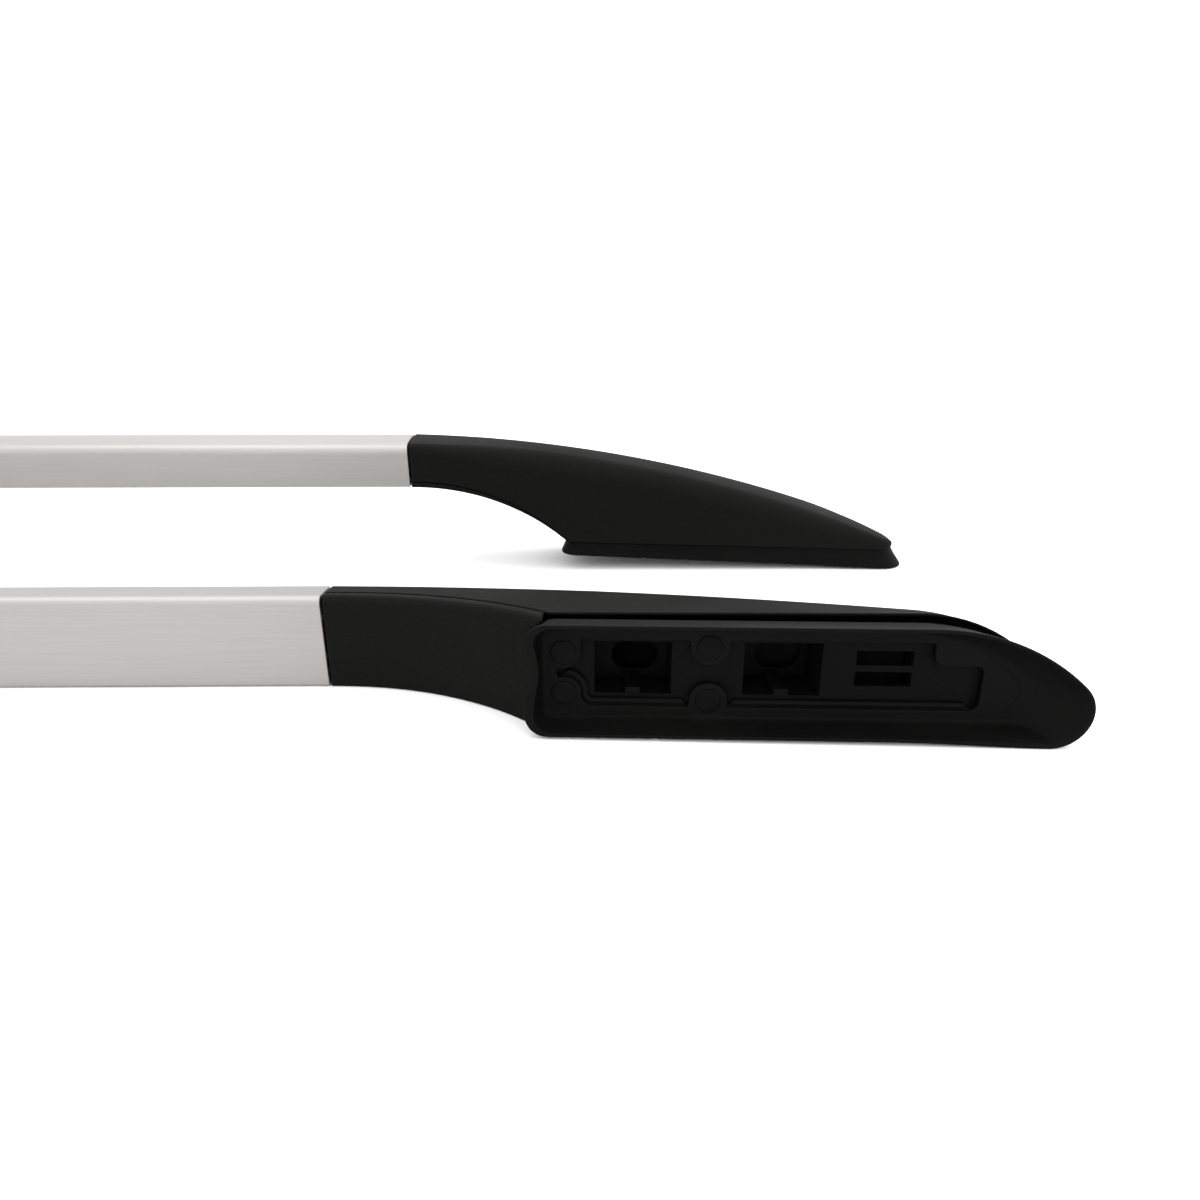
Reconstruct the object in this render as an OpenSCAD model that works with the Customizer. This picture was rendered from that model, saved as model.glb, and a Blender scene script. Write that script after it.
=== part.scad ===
// Raised roof side rails, a pair: one stands on its feet, one lies on its
// outer-to-inner side so that its base shows. Each rail is one extruded
// aluminium bar with a moulded foot at each end. Both rails are mirror images.
//
// Every foot is drawn once, in the rail's own axes: x runs from the end of the
// bar towards the tip of the foot, y across the rail (the curved side is +y)
// and z up from the underside of the bar.

/* [Bar] */
// Length of bar between the two feet
bar_len = 910; // [300:10:1400]
// Width of the bar at its underside
bar_w = 40; // [36:0.5:46]
// Height of the bar
bar_h = 24.7; // [22:0.1:28]
// Draft of the bar's and the covers' sides, degrees from upright
draft = 4.5; // [2:0.5:6]
// Radius of the bar's upper edges
bar_top_r = 5; // [3:0.5:7]
// Radius of the bar's lower edges
bar_bottom_r = 2.4; // [1:0.2:3]
// Wall of the extruded bar
bar_wall = 2; // [1.6:0.1:2.4]
// Bore of the two screw ports in the bar
port_bore = 4.4; // [4:0.1:5]
// Wall of the screw ports
port_wall = 1.6; // [1.2:0.1:2]
// Distance between the two screw ports
port_span = 16; // [15:0.5:17]
// Height of the screw ports above the bar's underside
port_z = 8; // [7.6:0.1:9]

/* [Foot] */
// Length of the neck, from the bar to the gasket
neck_len = 87; // [80:1:95]
// Length of the base on the roof
foot_len = 204.3; // [190:1:225]
// Height of the bar's underside above the roof at the inner end of the base
foot_drop = 40.5; // [38:0.5:44]
// Pitch of the roof against the bar, degrees
base_pitch = 2.6; // [1.5:0.1:3.5]
// Radius of the arch under the neck
neck_r = 135; // [125:1:150]
// Height of the arch's end above the roof, where the neck meets the gasket
neck_lift = 5.7; // [4:0.1:8]

/* [Cover] */
// Wall of the cover
cover_wall = 2.6; // [2:0.1:3]
// Thickness of the cover's edge along the seam
edge_t = 1; // [0.8:0.1:1.4]
// Height of the rebate inside that edge
edge_h = 4; // [2:0.5:5]
// Radius of the cover's crown edges
crown_edge_r = 5.5; // [4:0.5:7]
// Slope of the crown where it leaves the bar, degrees
crown_slope = 2; // [1:0.25:3]
// How far the cover stands proud of the bar
crown_rise = 0.3; // [0:0.1:0.6]
// Height of the cover's nose above the seam
nose_h = 1.4; // [1:0.2:3]
// Distance from the tip of the gasket back to the nose of the cover
nose_back = 6.8; // [5:0.2:9]
// Radius of the curved side towards the tip
curve_r = 60; // [50:1:75]
// How far the crown leans in from the curved side at the nose
crown_lean = 2; // [0:0.2:3]
// Radius of the nose in plan
nose_r = 12; // [9:0.5:14]

/* [Carrier] */
// Height of the parting line above the arch of the neck, straight side
lip_h = 3.2; // [2.4:0.2:4]
// Height of the parting line above the arch of the neck, curved side
lip_rise = 7.6; // [6:0.2:9]
// Radius of the neck's lower edges
lip_r = 3.6; // [2:0.2:4]
// Depth of the mounting plate behind the roof plane
plate_depth = 12; // [11:0.5:14]
// Thickness of plates, ribs and walls of the carrier
rib = 2.6; // [2:0.1:3]
// Length that plugs into the bar
spigot_len = 38; // [25:1:60]
// Distance from the end of the neck to the middle of the first bolt slot
bolt_in = 35; // [32:1:37]
// Distance between the two bolt slots
bolt_span = 57; // [54:0.5:60]
// Length of a bolt slot
bolt_slot_l = 18.4; // [14:0.2:20]
// Width of a bolt slot
bolt_slot_w = 12.4; // [8:0.2:13]
// Length of a bolt pocket
pocket_l = 29; // [26:0.5:31]
// Reach of a bolt pocket towards the straight side
pocket_low = 9.2; // [8.5:0.1:10]
// Reach of a bolt pocket towards the curved side
pocket_high = 12; // [11:0.1:12.4]
// Height of the pockets' floors below the bar's underside
pocket_floor = 14; // [12:0.5:15]
// Thickness of the pockets' floors
pocket_skin = 3.4; // [2.5:0.1:4]
// Length of the two clip slots
clip_l = 21; // [16:0.5:22]
// Width of a clip slot
clip_w = 5.8; // [4:0.1:6]
// Distance from the tip of the gasket back to the end of the mounting plate
plate_back = 35; // [33:1:39]

/* [Gasket] */
// Width of the gasket at its rim
gasket_w = 44.4; // [43:0.2:46]
// Height of the gasket at its inner end
gasket_h = 11.6; // [10.6:0.2:12]
// Pitch of the seam between cover and gasket, degrees
seam_pitch = 1.6; // [1.2:0.1:2]
// Roll of the seam, higher on the curved side, degrees
seam_roll = 8.5; // [6:0.5:9]
// Width of the rim that lies on the roof
rim_w = 1.3; // [1:0.1:2]
// How far the waist of the gasket is drawn in
waist = 1; // [0.6:0.1:1.2]
// Height at which the gasket's outside steps in
shoulder_h = 11.4; // [10.6:0.2:11.6]
// Depth of that step
shoulder_d = 2.4; // [1.6:0.2:3]
// Radius of the gasket's inner corners in plan
corner_r = 8.5; // [7:0.5:10]
// Radius of the gasket's curved side
gasket_curve_r = 80; // [70:1:90]
// Radius of the gasket's tip
gasket_tip_r = 14; // [12:0.5:15]
// How far the rim flares out beside the tip, on the straight side
gasket_flare = 1.5; // [0:0.1:1.5]
// Thickness of the gasket's floor
floor_t = 2.6; // [2:0.1:3]
// Width of the window in the gasket's floor
window_w = 27; // [24:0.5:27.5]
// Radius of the tabs that hold the floor
tab_r = 7.2; // [6.5:0.1:7.6]

/* [Fasteners and clearances] */
// Diameter of the studs' heads
stud_d = 10; // [8:0.2:11]
// Diameter of the studs' shanks
stud_shank_d = 4; // [3.4:0.1:4.6]
// Thickness of the studs' heads
stud_head_t = 1.2; // [0.8:0.1:1.6]
// Head diameter of the two screws that hold a foot on the bar
screw_head_d = 7.6; // [7:0.1:8]
// Screw length under the head
screw_len = 32; // [24:1:40]
// Gap at the seams that show
seam_gap = 0.5; // [0.3:0.1:0.8]
// Clearance between pieces that fit into each other
fit_gap = 0.25; // [0.15:0.05:0.4]

/* [Layout] */
// Distance between the two rails' bars
rail_gap = 161; // [130:1:200]
// How far the standing rail is ahead of the lying one
rail_shift = 7; // [0:1:20]

/* [Hidden] */
$fn = 48;
e = 0.01;

aluminium_c = "#c9c9c6";
plastic_c = "#232426";
rubber_c = "#161617";
steel_c = "#8d8f92";

// Heights of the surfaces that the foot is built from, at distance x.
function side_w(z) = bar_w / 2 - z * tan(draft);
function base_z(x) = -foot_drop - (x - neck_len) * tan(base_pitch);
function plate_z(x) = base_z(x) + plate_depth / cos(base_pitch);
function seam_z(x, y = 0) = -foot_drop + gasket_h
    - (x - neck_len) * tan(seam_pitch) + y * tan(seam_roll);
// The arch falls from the bar to the end of the neck; how far sets where it starts.
neck_end = neck_len + corner_r - 3.5;
neck_fall = foot_drop - neck_lift;
neck_start = neck_end - sqrt(2 * neck_r * neck_fall - neck_fall * neck_fall);
function neck_z(x) = sqrt(neck_r * neck_r - pow(max(0, x - neck_start), 2)) - neck_r;
// The parting line between cover and neck, on the straight and the curved side.
function lip_low(x) = neck_z(x) + lip_h * (1 - 0.7 * pow(max(0, x / neck_len), 2));
function lip_high(x) = neck_z(x) + lip_rise * (1 + 0.2 * pow(max(0, x / neck_len), 2));

tip_x = neck_len + foot_len * cos(base_pitch);
nose_x = tip_x - nose_back;
seam_w = side_w(seam_z(nose_x));

// The crown is one arc from the end of the bar to the nose.
crown_z0 = bar_h + crown_rise;
crown_z1 = seam_z(nose_x, nose_r - seam_w) + nose_h;
crown_d = crown_z0 - crown_z1;
crown_r = (nose_x * nose_x + crown_d * crown_d)
    / (2 * (crown_d * cos(crown_slope) - nose_x * sin(crown_slope)));
crown_cx = -crown_r * sin(crown_slope);
crown_cz = crown_z0 - crown_r * cos(crown_slope);
function crown_z(x) = crown_cz + sqrt(crown_r * crown_r - pow(x - crown_cx, 2));

// Where the carrier's core may reach: clear of the cover's inside.
core_w = side_w(crown_z0) - cover_wall - 3 * fit_gap;
plate_end = tip_x - plate_back;
bolt_x1 = neck_end + bolt_in;
bolt_x2 = bolt_x1 + bolt_span;
pocket_x1 = bolt_x1 - 1.5;
pocket_x2 = bolt_x2 - 2.5;
// The clip slots stand in the room between the second pocket and the plate's end.
clip_room = plate_end - pocket_x2 - pocket_l / 2 - clip_l;
clip_x = pocket_x2 + pocket_l / 2 + 0.32 * clip_room + clip_l / 2;
stud_x1 = neck_len + 12;
stud_x2 = (pocket_x1 + pocket_x2) / 2;
stud_y1 = 8.2;
stud_y2 = window_w / 2 - 2.7;
window_x0 = neck_len + 9.3;
window_x1 = plate_end - 2;

// A plan outline with a straight side (-y) and a curved side (+y): the curved
// side is one arc that runs into the round of the tip.
function arc(cx, cy, r, a0, a1, n) =
    [for (i = [0:n]) let (a = a0 + (a1 - a0) * i / n) [cx + r * cos(a), cy + r * sin(a)]];
// Beside the tip the straight side may flare out by fl.
function curve_x0(xt, w, rc, rt, fl = 0) =
    xt - rt - sqrt(pow(rc - rt, 2) - pow(rc + rt - 2 * w - fl, 2));
function tangent_a(xt, w, rc, rt, fl = 0) =
    atan2(rc + rt - 2 * w - fl, xt - rt - curve_x0(xt, w, rc, rt, fl));
function outline(x0, xt, w, rc, rt, rs, fl = 0) = concat(
    arc(xt - rt, rt - w - fl, rt, -90, tangent_a(xt, w, rc, rt, fl), 9),
    arc(curve_x0(xt, w, rc, rt, fl), w - rc, rc, tangent_a(xt, w, rc, rt, fl), 90, 8),
    arc(x0 + rs, w - rs, rs, 90, 180, 5),
    arc(x0 + rs, rs - w, rs, 180, 270, 5),
    fl > 0 ? [[xt - 5 * rt, -w]] : []
);
// Sideways inset of that outline at distance x, on the curved and straight side.
function inset_curved(x, xt, w, rc, rt) = let (c = curve_x0(xt, w, rc, rt), a = tangent_a(xt, w, rc, rt))
    x <= c ? 0
    : x <= c + rc * cos(a) ? rc - sqrt(rc * rc - pow(x - c, 2))
    : 2 * w - rt - sqrt(max(0, rt * rt - pow(x - xt + rt, 2)));
function inset_straight(x, xt, rt) =
    x <= xt - rt ? 0 : rt - sqrt(max(0, rt * rt - pow(x - xt + rt, 2)));

// Skins a row of sections that have the same number of points.
module loft(s) {
    n = len(s[0]);
    m = len(s);
    polyhedron(
        points = [for (q = s) each q],
        faces = concat(
            [[for (i = [0:n - 1]) i]],
            [[for (i = [n - 1:-1:0]) (m - 1) * n + i]],
            [for (j = [0:m - 2], i = [0:n - 1]) [j * n + i, (j + 1) * n + i, (j + 1) * n + (i + 1) % n]],
            [for (j = [0:m - 2], i = [0:n - 1]) [j * n + i, (j + 1) * n + (i + 1) % n, j * n + (i + 1) % n]]
        ),
        convexity = 6
    );
}

// Stations along the cover: even along the arc, closer round the nose.
function stations(x0, xt, w, rc, rt) = let (c = curve_x0(xt, w, rc, rt)) concat(
    [for (i = [0:8]) x0 + (c - x0) * i / 8],
    [for (i = [1:4]) c + (xt - rt - c) * i / 4],
    [for (a = [24, 46, 64, 78]) xt - rt + rt * sin(a)]
);

// One section of the foot's outer form, taken in by t, from zb up to the crown.
function foot_section(x, t, zb) = let (
        xt = nose_x - t, w = seam_w - t, rc = curve_r - t, rt = nose_r - t,
        nose = x > xt - 4 ? 4 - sqrt(max(0, 16 - pow(x - xt + 4, 2))) : 0,
        zt = crown_z(x) - t - 0.5 * nose,
        ih = inset_curved(x, xt, w, rc, rt) + t,
        il = inset_straight(x, xt, rt) + t,
        lean = crown_lean * max(0, min(1, (x - neck_len - 25) / 120)),
        rw = side_w(zt) - ih - lean, lw = -side_w(zt) + il,
        r = min(max(crown_edge_r - t, 1.2), 0.42 * (rw - lw), 0.6 * (zt - zb)),
        cr = side_w(zt - r) - ih - lean - r, cl = -side_w(zt - r) + il + r,
        zs = min(seam_z(x, seam_w), zt - r - 1)
    ) concat(
        [[x, -side_w(zb) + il, zb], [x, side_w(zb) - ih, zb], [x, side_w(zs) - ih, zs]],
        [for (a = [0:18:90]) [x, cr + r * cos(a), zt - r + r * sin(a)]],
        [for (a = [90:18:180]) [x, cl + r * cos(a), zt - r + r * sin(a)]]
    );
module foot_form(t, x0) {
    loft([for (x = stations(x0, nose_x - t, seam_w - t, curve_r - t, nose_r - t))
        foot_section(x, t, -foot_drop - 8)]);
}

// Extrudes a profile in x and z from y0 to y1.
module across(y0, y1) {
    translate([0, y1, 0]) rotate([90, 0, 0]) linear_extrude(y1 - y0) children();
}
// Everything below the seam between cover and gasket, moved down by d.
module below_seam(d = 0) {
    translate([neck_len, 0, seam_z(neck_len) - d])
        rotate([seam_roll, seam_pitch, 0])
            translate([-120, -60, -60]) cube([420, 120, 60]);
}
// Places a shape on the roof plane, x measured as before.
module on_roof() {
    translate([neck_len, 0, -foot_drop]) rotate([0, base_pitch, 0]) translate([-neck_len, 0, 0]) children();
}

neck_n = 12;
neck_stations = [for (i = [0:neck_n]) seam_gap + (neck_end - seam_gap) * i / neck_n];

// Everything below the parting surface, moved down by d, from x0 to the end of
// the neck. The surface is ruled between the two parting lines.
function lip_section(x, d) = let (m = (lip_low(x) + lip_high(x)) / 2, h = (lip_high(x) - lip_low(x)) / bar_w * 60)
    [[x, -60, -foot_drop - 40], [x, 60, -foot_drop - 40], [x, 60, m + h - d], [x, -60, m - h - d]];
module below_lip(d, x0) {
    loft([for (x = concat([x0], neck_stations)) lip_section(x, d)]);
}

// The cover: a drafted shell with a round crown, open below.
module foot_cover() {
    difference() {
        foot_form(0, seam_gap);
        foot_form(cover_wall, -1);
        below_seam();
        below_lip(0, -5);
        // the rebate inside the edge along the seam
        intersection() {
            foot_form(edge_t, neck_end + 2);
            below_seam(-edge_h);
        }
    }
}

// The skin of the neck's underside, with rounded edges. It ends against the
// round corners of the gasket.
function neck_section(x) = let (
        z0 = neck_z(x), r = lip_r, c = side_w(z0 + r) - r,
        zl = max(lip_low(x) + 2, z0 + r + 1), zr = lip_high(x) + 3
    ) concat(
        [[x, -side_w(zl), zl]],
        [for (a = [180:18:270]) [x, -c + r * cos(a), z0 + r + r * sin(a)]],
        [for (a = [-90:18:0]) [x, c + r * cos(a), z0 + r + r * sin(a)]],
        [[x, side_w(zr), zr]]
    );
module neck_skin() {
    difference() {
        intersection() {
            loft([for (x = neck_stations) neck_section(x)]);
            below_lip(fit_gap, -5);
        }
        intersection() {
            below_seam();
            on_roof() slab(-5, 50) gasket_plan(-fit_gap);
        }
    }
}

// The core of the carrier, seen from the side.
core_n = 24;
core_x0 = seam_gap / 2;
function core_top(x) = crown_z(x) - cover_wall - 4 * fit_gap;
function core_bottom(x) = max(x < neck_end ? neck_z(x) + 1 : -1000, plate_z(x));
module core_profile(up = 0, x0 = core_x0, x1 = plate_end) {
    polygon(concat(
        [for (i = [0:core_n]) let (x = x0 + (x1 - x0) * i / core_n) [x, core_bottom(x) + up]],
        [for (i = [core_n:-1:0]) let (x = x0 + (x1 - x0) * i / core_n) [x, core_top(x) + (up > 0 ? 20 : 0)]]
    ));
}
// A bay of the carrier that is open at the top, between x0 and x1.
module bay(x0, x1, floor_up) {
    across(-core_w + rib, core_w - rib) core_profile(floor_up, x0, x1);
}

// The corner that the plate's end and the gasket's window lack on the curved
// side, grown by d. The gasket's floor laps over the plate all round its window.
floor_lap = core_w - window_w / 2;
module cut_corner(d = 0) {
    hull() for (p = [[plate_end - 16, 9], [plate_end - 16, 30], [plate_end + 10, 9]])
        translate(p) circle(r = 4.5 + d, $fn = 32);
}
module carrier_plan() {
    difference() {
        translate([core_x0, -core_w]) square([plate_end - core_x0, 2 * core_w]);
        cut_corner(-floor_lap);
        // the round corner on the straight side
        difference() {
            translate([plate_end - 5, -core_w - 1]) square([6, 6]);
            translate([plate_end - 5, -core_w + 5]) circle(r = 5);
        }
    }
}

module bolt_pocket(x) {
    difference() {
        translate([x - pocket_l / 2, -pocket_low, -foot_drop - 30])
            cube([pocket_l, pocket_low + pocket_high, foot_drop + 30 - pocket_floor]);
        // the rib down the middle of the pocket's lower wall
        translate([x - 2.7, -pocket_low - 1, -foot_drop - 30]) cube([5.4, 3.5, foot_drop + 30]);
    }
}
module bolt_slot(x) {
    for (s = [-1, 1])
        translate([x + s * (bolt_slot_l - bolt_slot_w) / 2, 0, -pocket_floor - 1])
            cylinder(d = bolt_slot_w, h = pocket_skin + 2);
    translate([x - (bolt_slot_l - bolt_slot_w) / 2, -bolt_slot_w / 2, -pocket_floor - 1])
        cube([bolt_slot_l - bolt_slot_w, bolt_slot_w, pocket_skin + 2]);
}

// The bar's section and what is left inside it.
module bar_outline() {
    ct = side_w(bar_h - bar_top_r) - bar_top_r / cos(draft);
    cb = side_w(bar_bottom_r) - bar_bottom_r / cos(draft);
    hull() for (s = [-1, 1]) {
        translate([s * ct, bar_h - bar_top_r]) circle(r = bar_top_r, $fn = 48);
        translate([s * cb, bar_bottom_r]) circle(r = bar_bottom_r, $fn = 32);
    }
}
module bar_inside(t = bar_wall) {
    polygon([
        [-side_w(t) + t / cos(draft), t], [side_w(t) - t / cos(draft), t],
        [side_w(bar_h - t - 4) - t / cos(draft), bar_h - t - 4], [side_w(bar_h) - t - 3.4, bar_h - t],
        [-side_w(bar_h) + t + 3.4, bar_h - t], [-side_w(bar_h - t - 4) + t / cos(draft), bar_h - t - 4]
    ]);
}
module port_places() {
    for (s = [-1, 1]) translate([s * port_span / 2, port_z]) children();
}
module bar_section() {
    difference() {
        union() {
            difference() { bar_outline(); bar_inside(); }
            port_places() circle(d = port_bore + 2 * port_wall);
            port_places() translate([-1.2, -port_z + bar_wall / 2]) square([2.4, port_z - bar_wall]);
        }
        port_places() circle(d = port_bore);
    }
}
// The plug of the carrier that fills the bar between and above the ports.
module spigot_section() {
    difference() {
        intersection() {
            bar_inside(bar_wall + fit_gap);
            union() {
                translate([-30, port_z + port_bore / 2 + port_wall + fit_gap]) square([60, bar_h]);
                translate([-port_span / 2 + port_bore / 2 + port_wall + fit_gap, 0])
                    square([port_span - port_bore - 2 * port_wall - 2 * fit_gap, bar_h]);
            }
        }
        translate([-port_span / 2 + 0.5, port_z + port_bore / 2 + port_wall + fit_gap + rib])
            square([port_span - 1, bar_h - bar_wall - 2 * rib - port_z - port_bore / 2 - port_wall - 3 * fit_gap]);
    }
}
// Sweeps a section in y and z along x.
module along(x0, x1) {
    translate([x0, 0, 0]) rotate([90, 0, 90]) linear_extrude(x1 - x0) children();
}
flange_t = 8;

// The carrier: spigot, neck skin and a ribbed core with the bolt pockets.
module foot_carrier() {
    difference() {
        union() {
            difference() {
                intersection() {
                    across(-core_w, core_w) core_profile();
                    translate([0, 0, -foot_drop - 30]) linear_extrude(foot_drop + bar_h + 60) carrier_plan();
                }
                bay(flange_t, neck_len / 2, rib);
                bay(neck_len / 2 + rib, neck_len + 3, rib);
                bay(neck_len + 3 + rib, pocket_x1 - pocket_l / 2 - rib, rib);
                bay(pocket_x1 + pocket_l / 2 + rib, stud_x2 - rib / 2, rib);
                bay(stud_x2 + rib / 2, pocket_x2 - pocket_l / 2 - rib, rib);
                bay(pocket_x2 + pocket_l / 2 + rib, clip_x + clip_l / 2 + clip_room / 15, rib);
                for (x = [pocket_x1, pocket_x2])
                    translate([x - pocket_l / 2, -core_w + rib, -pocket_floor + pocket_skin])
                        cube([pocket_l, 2 * core_w - 2 * rib, 60]);
            }
            neck_skin();
            along(-spigot_len, core_x0 + e) spigot_section();
        }
        bolt_pocket(pocket_x1);
        bolt_pocket(pocket_x2);
        bolt_slot(bolt_x1);
        bolt_slot(bolt_x2);
        // clip slots
        for (y = [6.4, -2])
            translate([clip_x - clip_l / 2, y - clip_w / 2, -foot_drop - 20]) cube([clip_l, clip_w, foot_drop]);
        // stud holes
        stud_places() translate([0, 0, -e]) cylinder(d = stud_shank_d + fit_gap, h = 30);
        // screw holes through the flange
        for (s = [-1, 1]) translate([-1, s * port_span / 2, port_z]) rotate([0, 90, 0]) {
            cylinder(d = port_bore + fit_gap, h = flange_t + 2);
            translate([0, 0, flange_t + 1]) cylinder(d = screw_head_d + 2 * fit_gap, h = 6);
        }
    }
}

module stud_places() {
    for (s = [-1, 1]) {
        on_roof() translate([stud_x1, s * stud_y1, plate_depth - floor_t]) children();
        on_roof() translate([stud_x2, s * stud_y2, plate_depth - floor_t]) children();
    }
}

// Outlines of the gasket on the roof plane and above it.
module gasket_plan(d, tip = 0, start = 0, flare = 0) {
    polygon(outline(neck_len + d + start, neck_len + foot_len - d - tip, gasket_w / 2 - d,
        gasket_curve_r - d, gasket_tip_r - d, corner_r - d, flare));
}
module slab(z, t = e) { translate([0, 0, z]) linear_extrude(t) children(); }
floor_z = plate_depth - floor_t;

// The gasket: a skirt with a drawn-in waist and a hollow lip, and a floor with
// a window and four round tabs.
module foot_gasket() {
    difference() {
        union() {
            difference() {
                on_roof() union() {
                    hull() { slab(0, 1) gasket_plan(0, 0, 0, gasket_flare); slab(7.5) gasket_plan(waist, 4, 0.5); }
                    hull() { slab(7.5) gasket_plan(waist, 4, 0.5); slab(shoulder_h) gasket_plan(waist + 0.3, 6, 1); }
                    slab(shoulder_h - 1, 12) gasket_plan(waist + shoulder_d, 5, 0.5);
                }
                below_up();
                // room for the carrier's core and the inside of the raised edge
                on_roof() slab(plate_depth - fit_gap, 30) {
                    gasket_plan(waist + shoulder_d + 1.8, 5, 0.5);
                    translate([neck_len - 1, -core_w - fit_gap]) square([plate_end - neck_len, 2 * core_w + 2 * fit_gap]);
                }
            }
            on_roof() slab(4, plate_depth - fit_gap - 4) gasket_plan(cover_wall + 1, 6);
        }
        on_roof() {
            hull() { slab(-1, 1) gasket_plan(rim_w); slab(5) gasket_plan(rim_w + 1.2, 2); }
            hull() { slab(5) gasket_plan(rim_w + 1.2, 2); slab(floor_z - e) gasket_plan(rim_w + 3, 4); }
            slab(floor_z - 1, floor_t + 2) window_plan();
            for (s = [-1, 1]) {
                translate([stud_x1, s * stud_y1, floor_z - 1]) cylinder(d = stud_shank_d + fit_gap, h = floor_t + 2);
                translate([stud_x2, s * stud_y2, floor_z - 1]) cylinder(d = stud_shank_d + fit_gap, h = floor_t + 2);
            }
        }
    }
}
// Everything above the seam, left free for the cover and the carrier.
module below_up() {
    translate([neck_len, 0, seam_z(neck_len) - seam_gap])
        rotate([seam_roll, seam_pitch, 0])
            translate([-120, -60, 0]) cube([420, 120, 60]);
}
module window_plan() {
    difference() {
        translate([window_x0, -window_w / 2]) square([window_x1 - window_x0, window_w]);
        cut_corner();
        for (s = [-1, 1]) {
            translate([stud_x2, s * stud_y2]) circle(r = tab_r);
            translate([stud_x2 - tab_r, s > 0 ? stud_y2 : -stud_y2 - 6]) square([2 * tab_r, 6]);
            translate([stud_x1, s * stud_y1]) circle(r = tab_r - 0.8);
            translate([window_x0 - 4, s > 0 ? stud_y1 - 3 : -stud_y1 - 7]) square([7, 10]);
        }
    }
}

module foot_studs() {
    stud_places() {
        translate([0, 0, -stud_head_t]) cylinder(d = stud_d, h = stud_head_t);
        translate([0, 0, -e]) cylinder(d = stud_shank_d, h = floor_t + rib);
    }
}

module foot_screws() {
    for (s = [-1, 1]) translate([flange_t + fit_gap, s * port_span / 2, port_z]) {
        rotate([0, 90, 0]) cylinder(d = screw_head_d, h = 2.6);
        rotate([0, -90, 0]) translate([0, 0, -e]) cylinder(d = port_bore - fit_gap, h = screw_len);
    }
}

module bar() {
    along(-bar_len / 2, bar_len / 2) bar_section();
}

// Places: a foot at the front or rear of a rail, and the two rails.
module front() { translate([bar_len / 2, 0, 0]) children(); }
module rear() { mirror([1, 0, 0]) front() children(); }
stand_z = foot_drop + foot_len * sin(base_pitch);
lie_z = bar_w / 2 * cos(draft);
// outermost reach of each rail across the pair, from its bar
reach_stand = max(gasket_w / 2, side_w(neck_z(neck_end) + lip_r),
    side_w(seam_z(curve_x0(nose_x, seam_w, curve_r, nose_r))) / (1 + tan(draft) * tan(seam_roll)));
reach_lie = (foot_drop + (foot_len - gasket_tip_r) * sin(base_pitch)) * cos(draft)
    + (gasket_w / 2 + gasket_flare - gasket_tip_r) * sin(draft)
    + gasket_tip_r * norm([sin(base_pitch) * cos(draft), sin(draft)]);
y_mid = (rail_gap + reach_stand - reach_lie) / 2;
module left_rail() { translate([rail_shift / 2, rail_gap - y_mid, stand_z]) children(); }
module right_rail() {
    translate([-rail_shift / 2, -y_mid, lie_z]) rotate([-90 - draft, 0, 0]) mirror([0, 1, 0]) children();
}

module left_bar() { color(aluminium_c) left_rail() bar(); }
module left_front_cover() { color(plastic_c) left_rail() front() foot_cover(); }
module left_front_carrier() { color(plastic_c) left_rail() front() foot_carrier(); }
module left_front_gasket() { color(rubber_c) left_rail() front() foot_gasket(); }
module left_front_studs() { color(plastic_c) left_rail() front() foot_studs(); }
module left_front_screws() { color(steel_c) left_rail() front() foot_screws(); }
module left_rear_cover() { color(plastic_c) left_rail() rear() foot_cover(); }
module left_rear_carrier() { color(plastic_c) left_rail() rear() foot_carrier(); }
module left_rear_gasket() { color(rubber_c) left_rail() rear() foot_gasket(); }
module left_rear_studs() { color(plastic_c) left_rail() rear() foot_studs(); }
module left_rear_screws() { color(steel_c) left_rail() rear() foot_screws(); }
module right_bar() { color(aluminium_c) right_rail() bar(); }
module right_front_cover() { color(plastic_c) right_rail() front() foot_cover(); }
module right_front_carrier() { color(plastic_c) right_rail() front() foot_carrier(); }
module right_front_gasket() { color(rubber_c) right_rail() front() foot_gasket(); }
module right_front_studs() { color(plastic_c) right_rail() front() foot_studs(); }
module right_front_screws() { color(steel_c) right_rail() front() foot_screws(); }
module right_rear_cover() { color(plastic_c) right_rail() rear() foot_cover(); }
module right_rear_carrier() { color(plastic_c) right_rail() rear() foot_carrier(); }
module right_rear_gasket() { color(rubber_c) right_rail() rear() foot_gasket(); }
module right_rear_studs() { color(plastic_c) right_rail() rear() foot_studs(); }
module right_rear_screws() { color(steel_c) right_rail() rear() foot_screws(); }

left_bar();
left_front_cover();
left_front_carrier();
left_front_gasket();
left_front_studs();
left_front_screws();
left_rear_cover();
left_rear_carrier();
left_rear_gasket();
left_rear_studs();
left_rear_screws();
right_bar();
right_front_cover();
right_front_carrier();
right_front_gasket();
right_front_studs();
right_front_screws();
right_rear_cover();
right_rear_carrier();
right_rear_gasket();
right_rear_studs();
right_rear_screws();
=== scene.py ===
# %% [markdown]
# # A pair of raised roof side rails
# Each rail is one satin aluminium bar with a moulded black foot at each end.
# One rail stands on its feet, the other lies on its straight side, so that its
# base can be seen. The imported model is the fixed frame; every surface below is
# worked out with numpy in a foot's own axes and then carried to the four feet.

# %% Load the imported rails
import math

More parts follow.
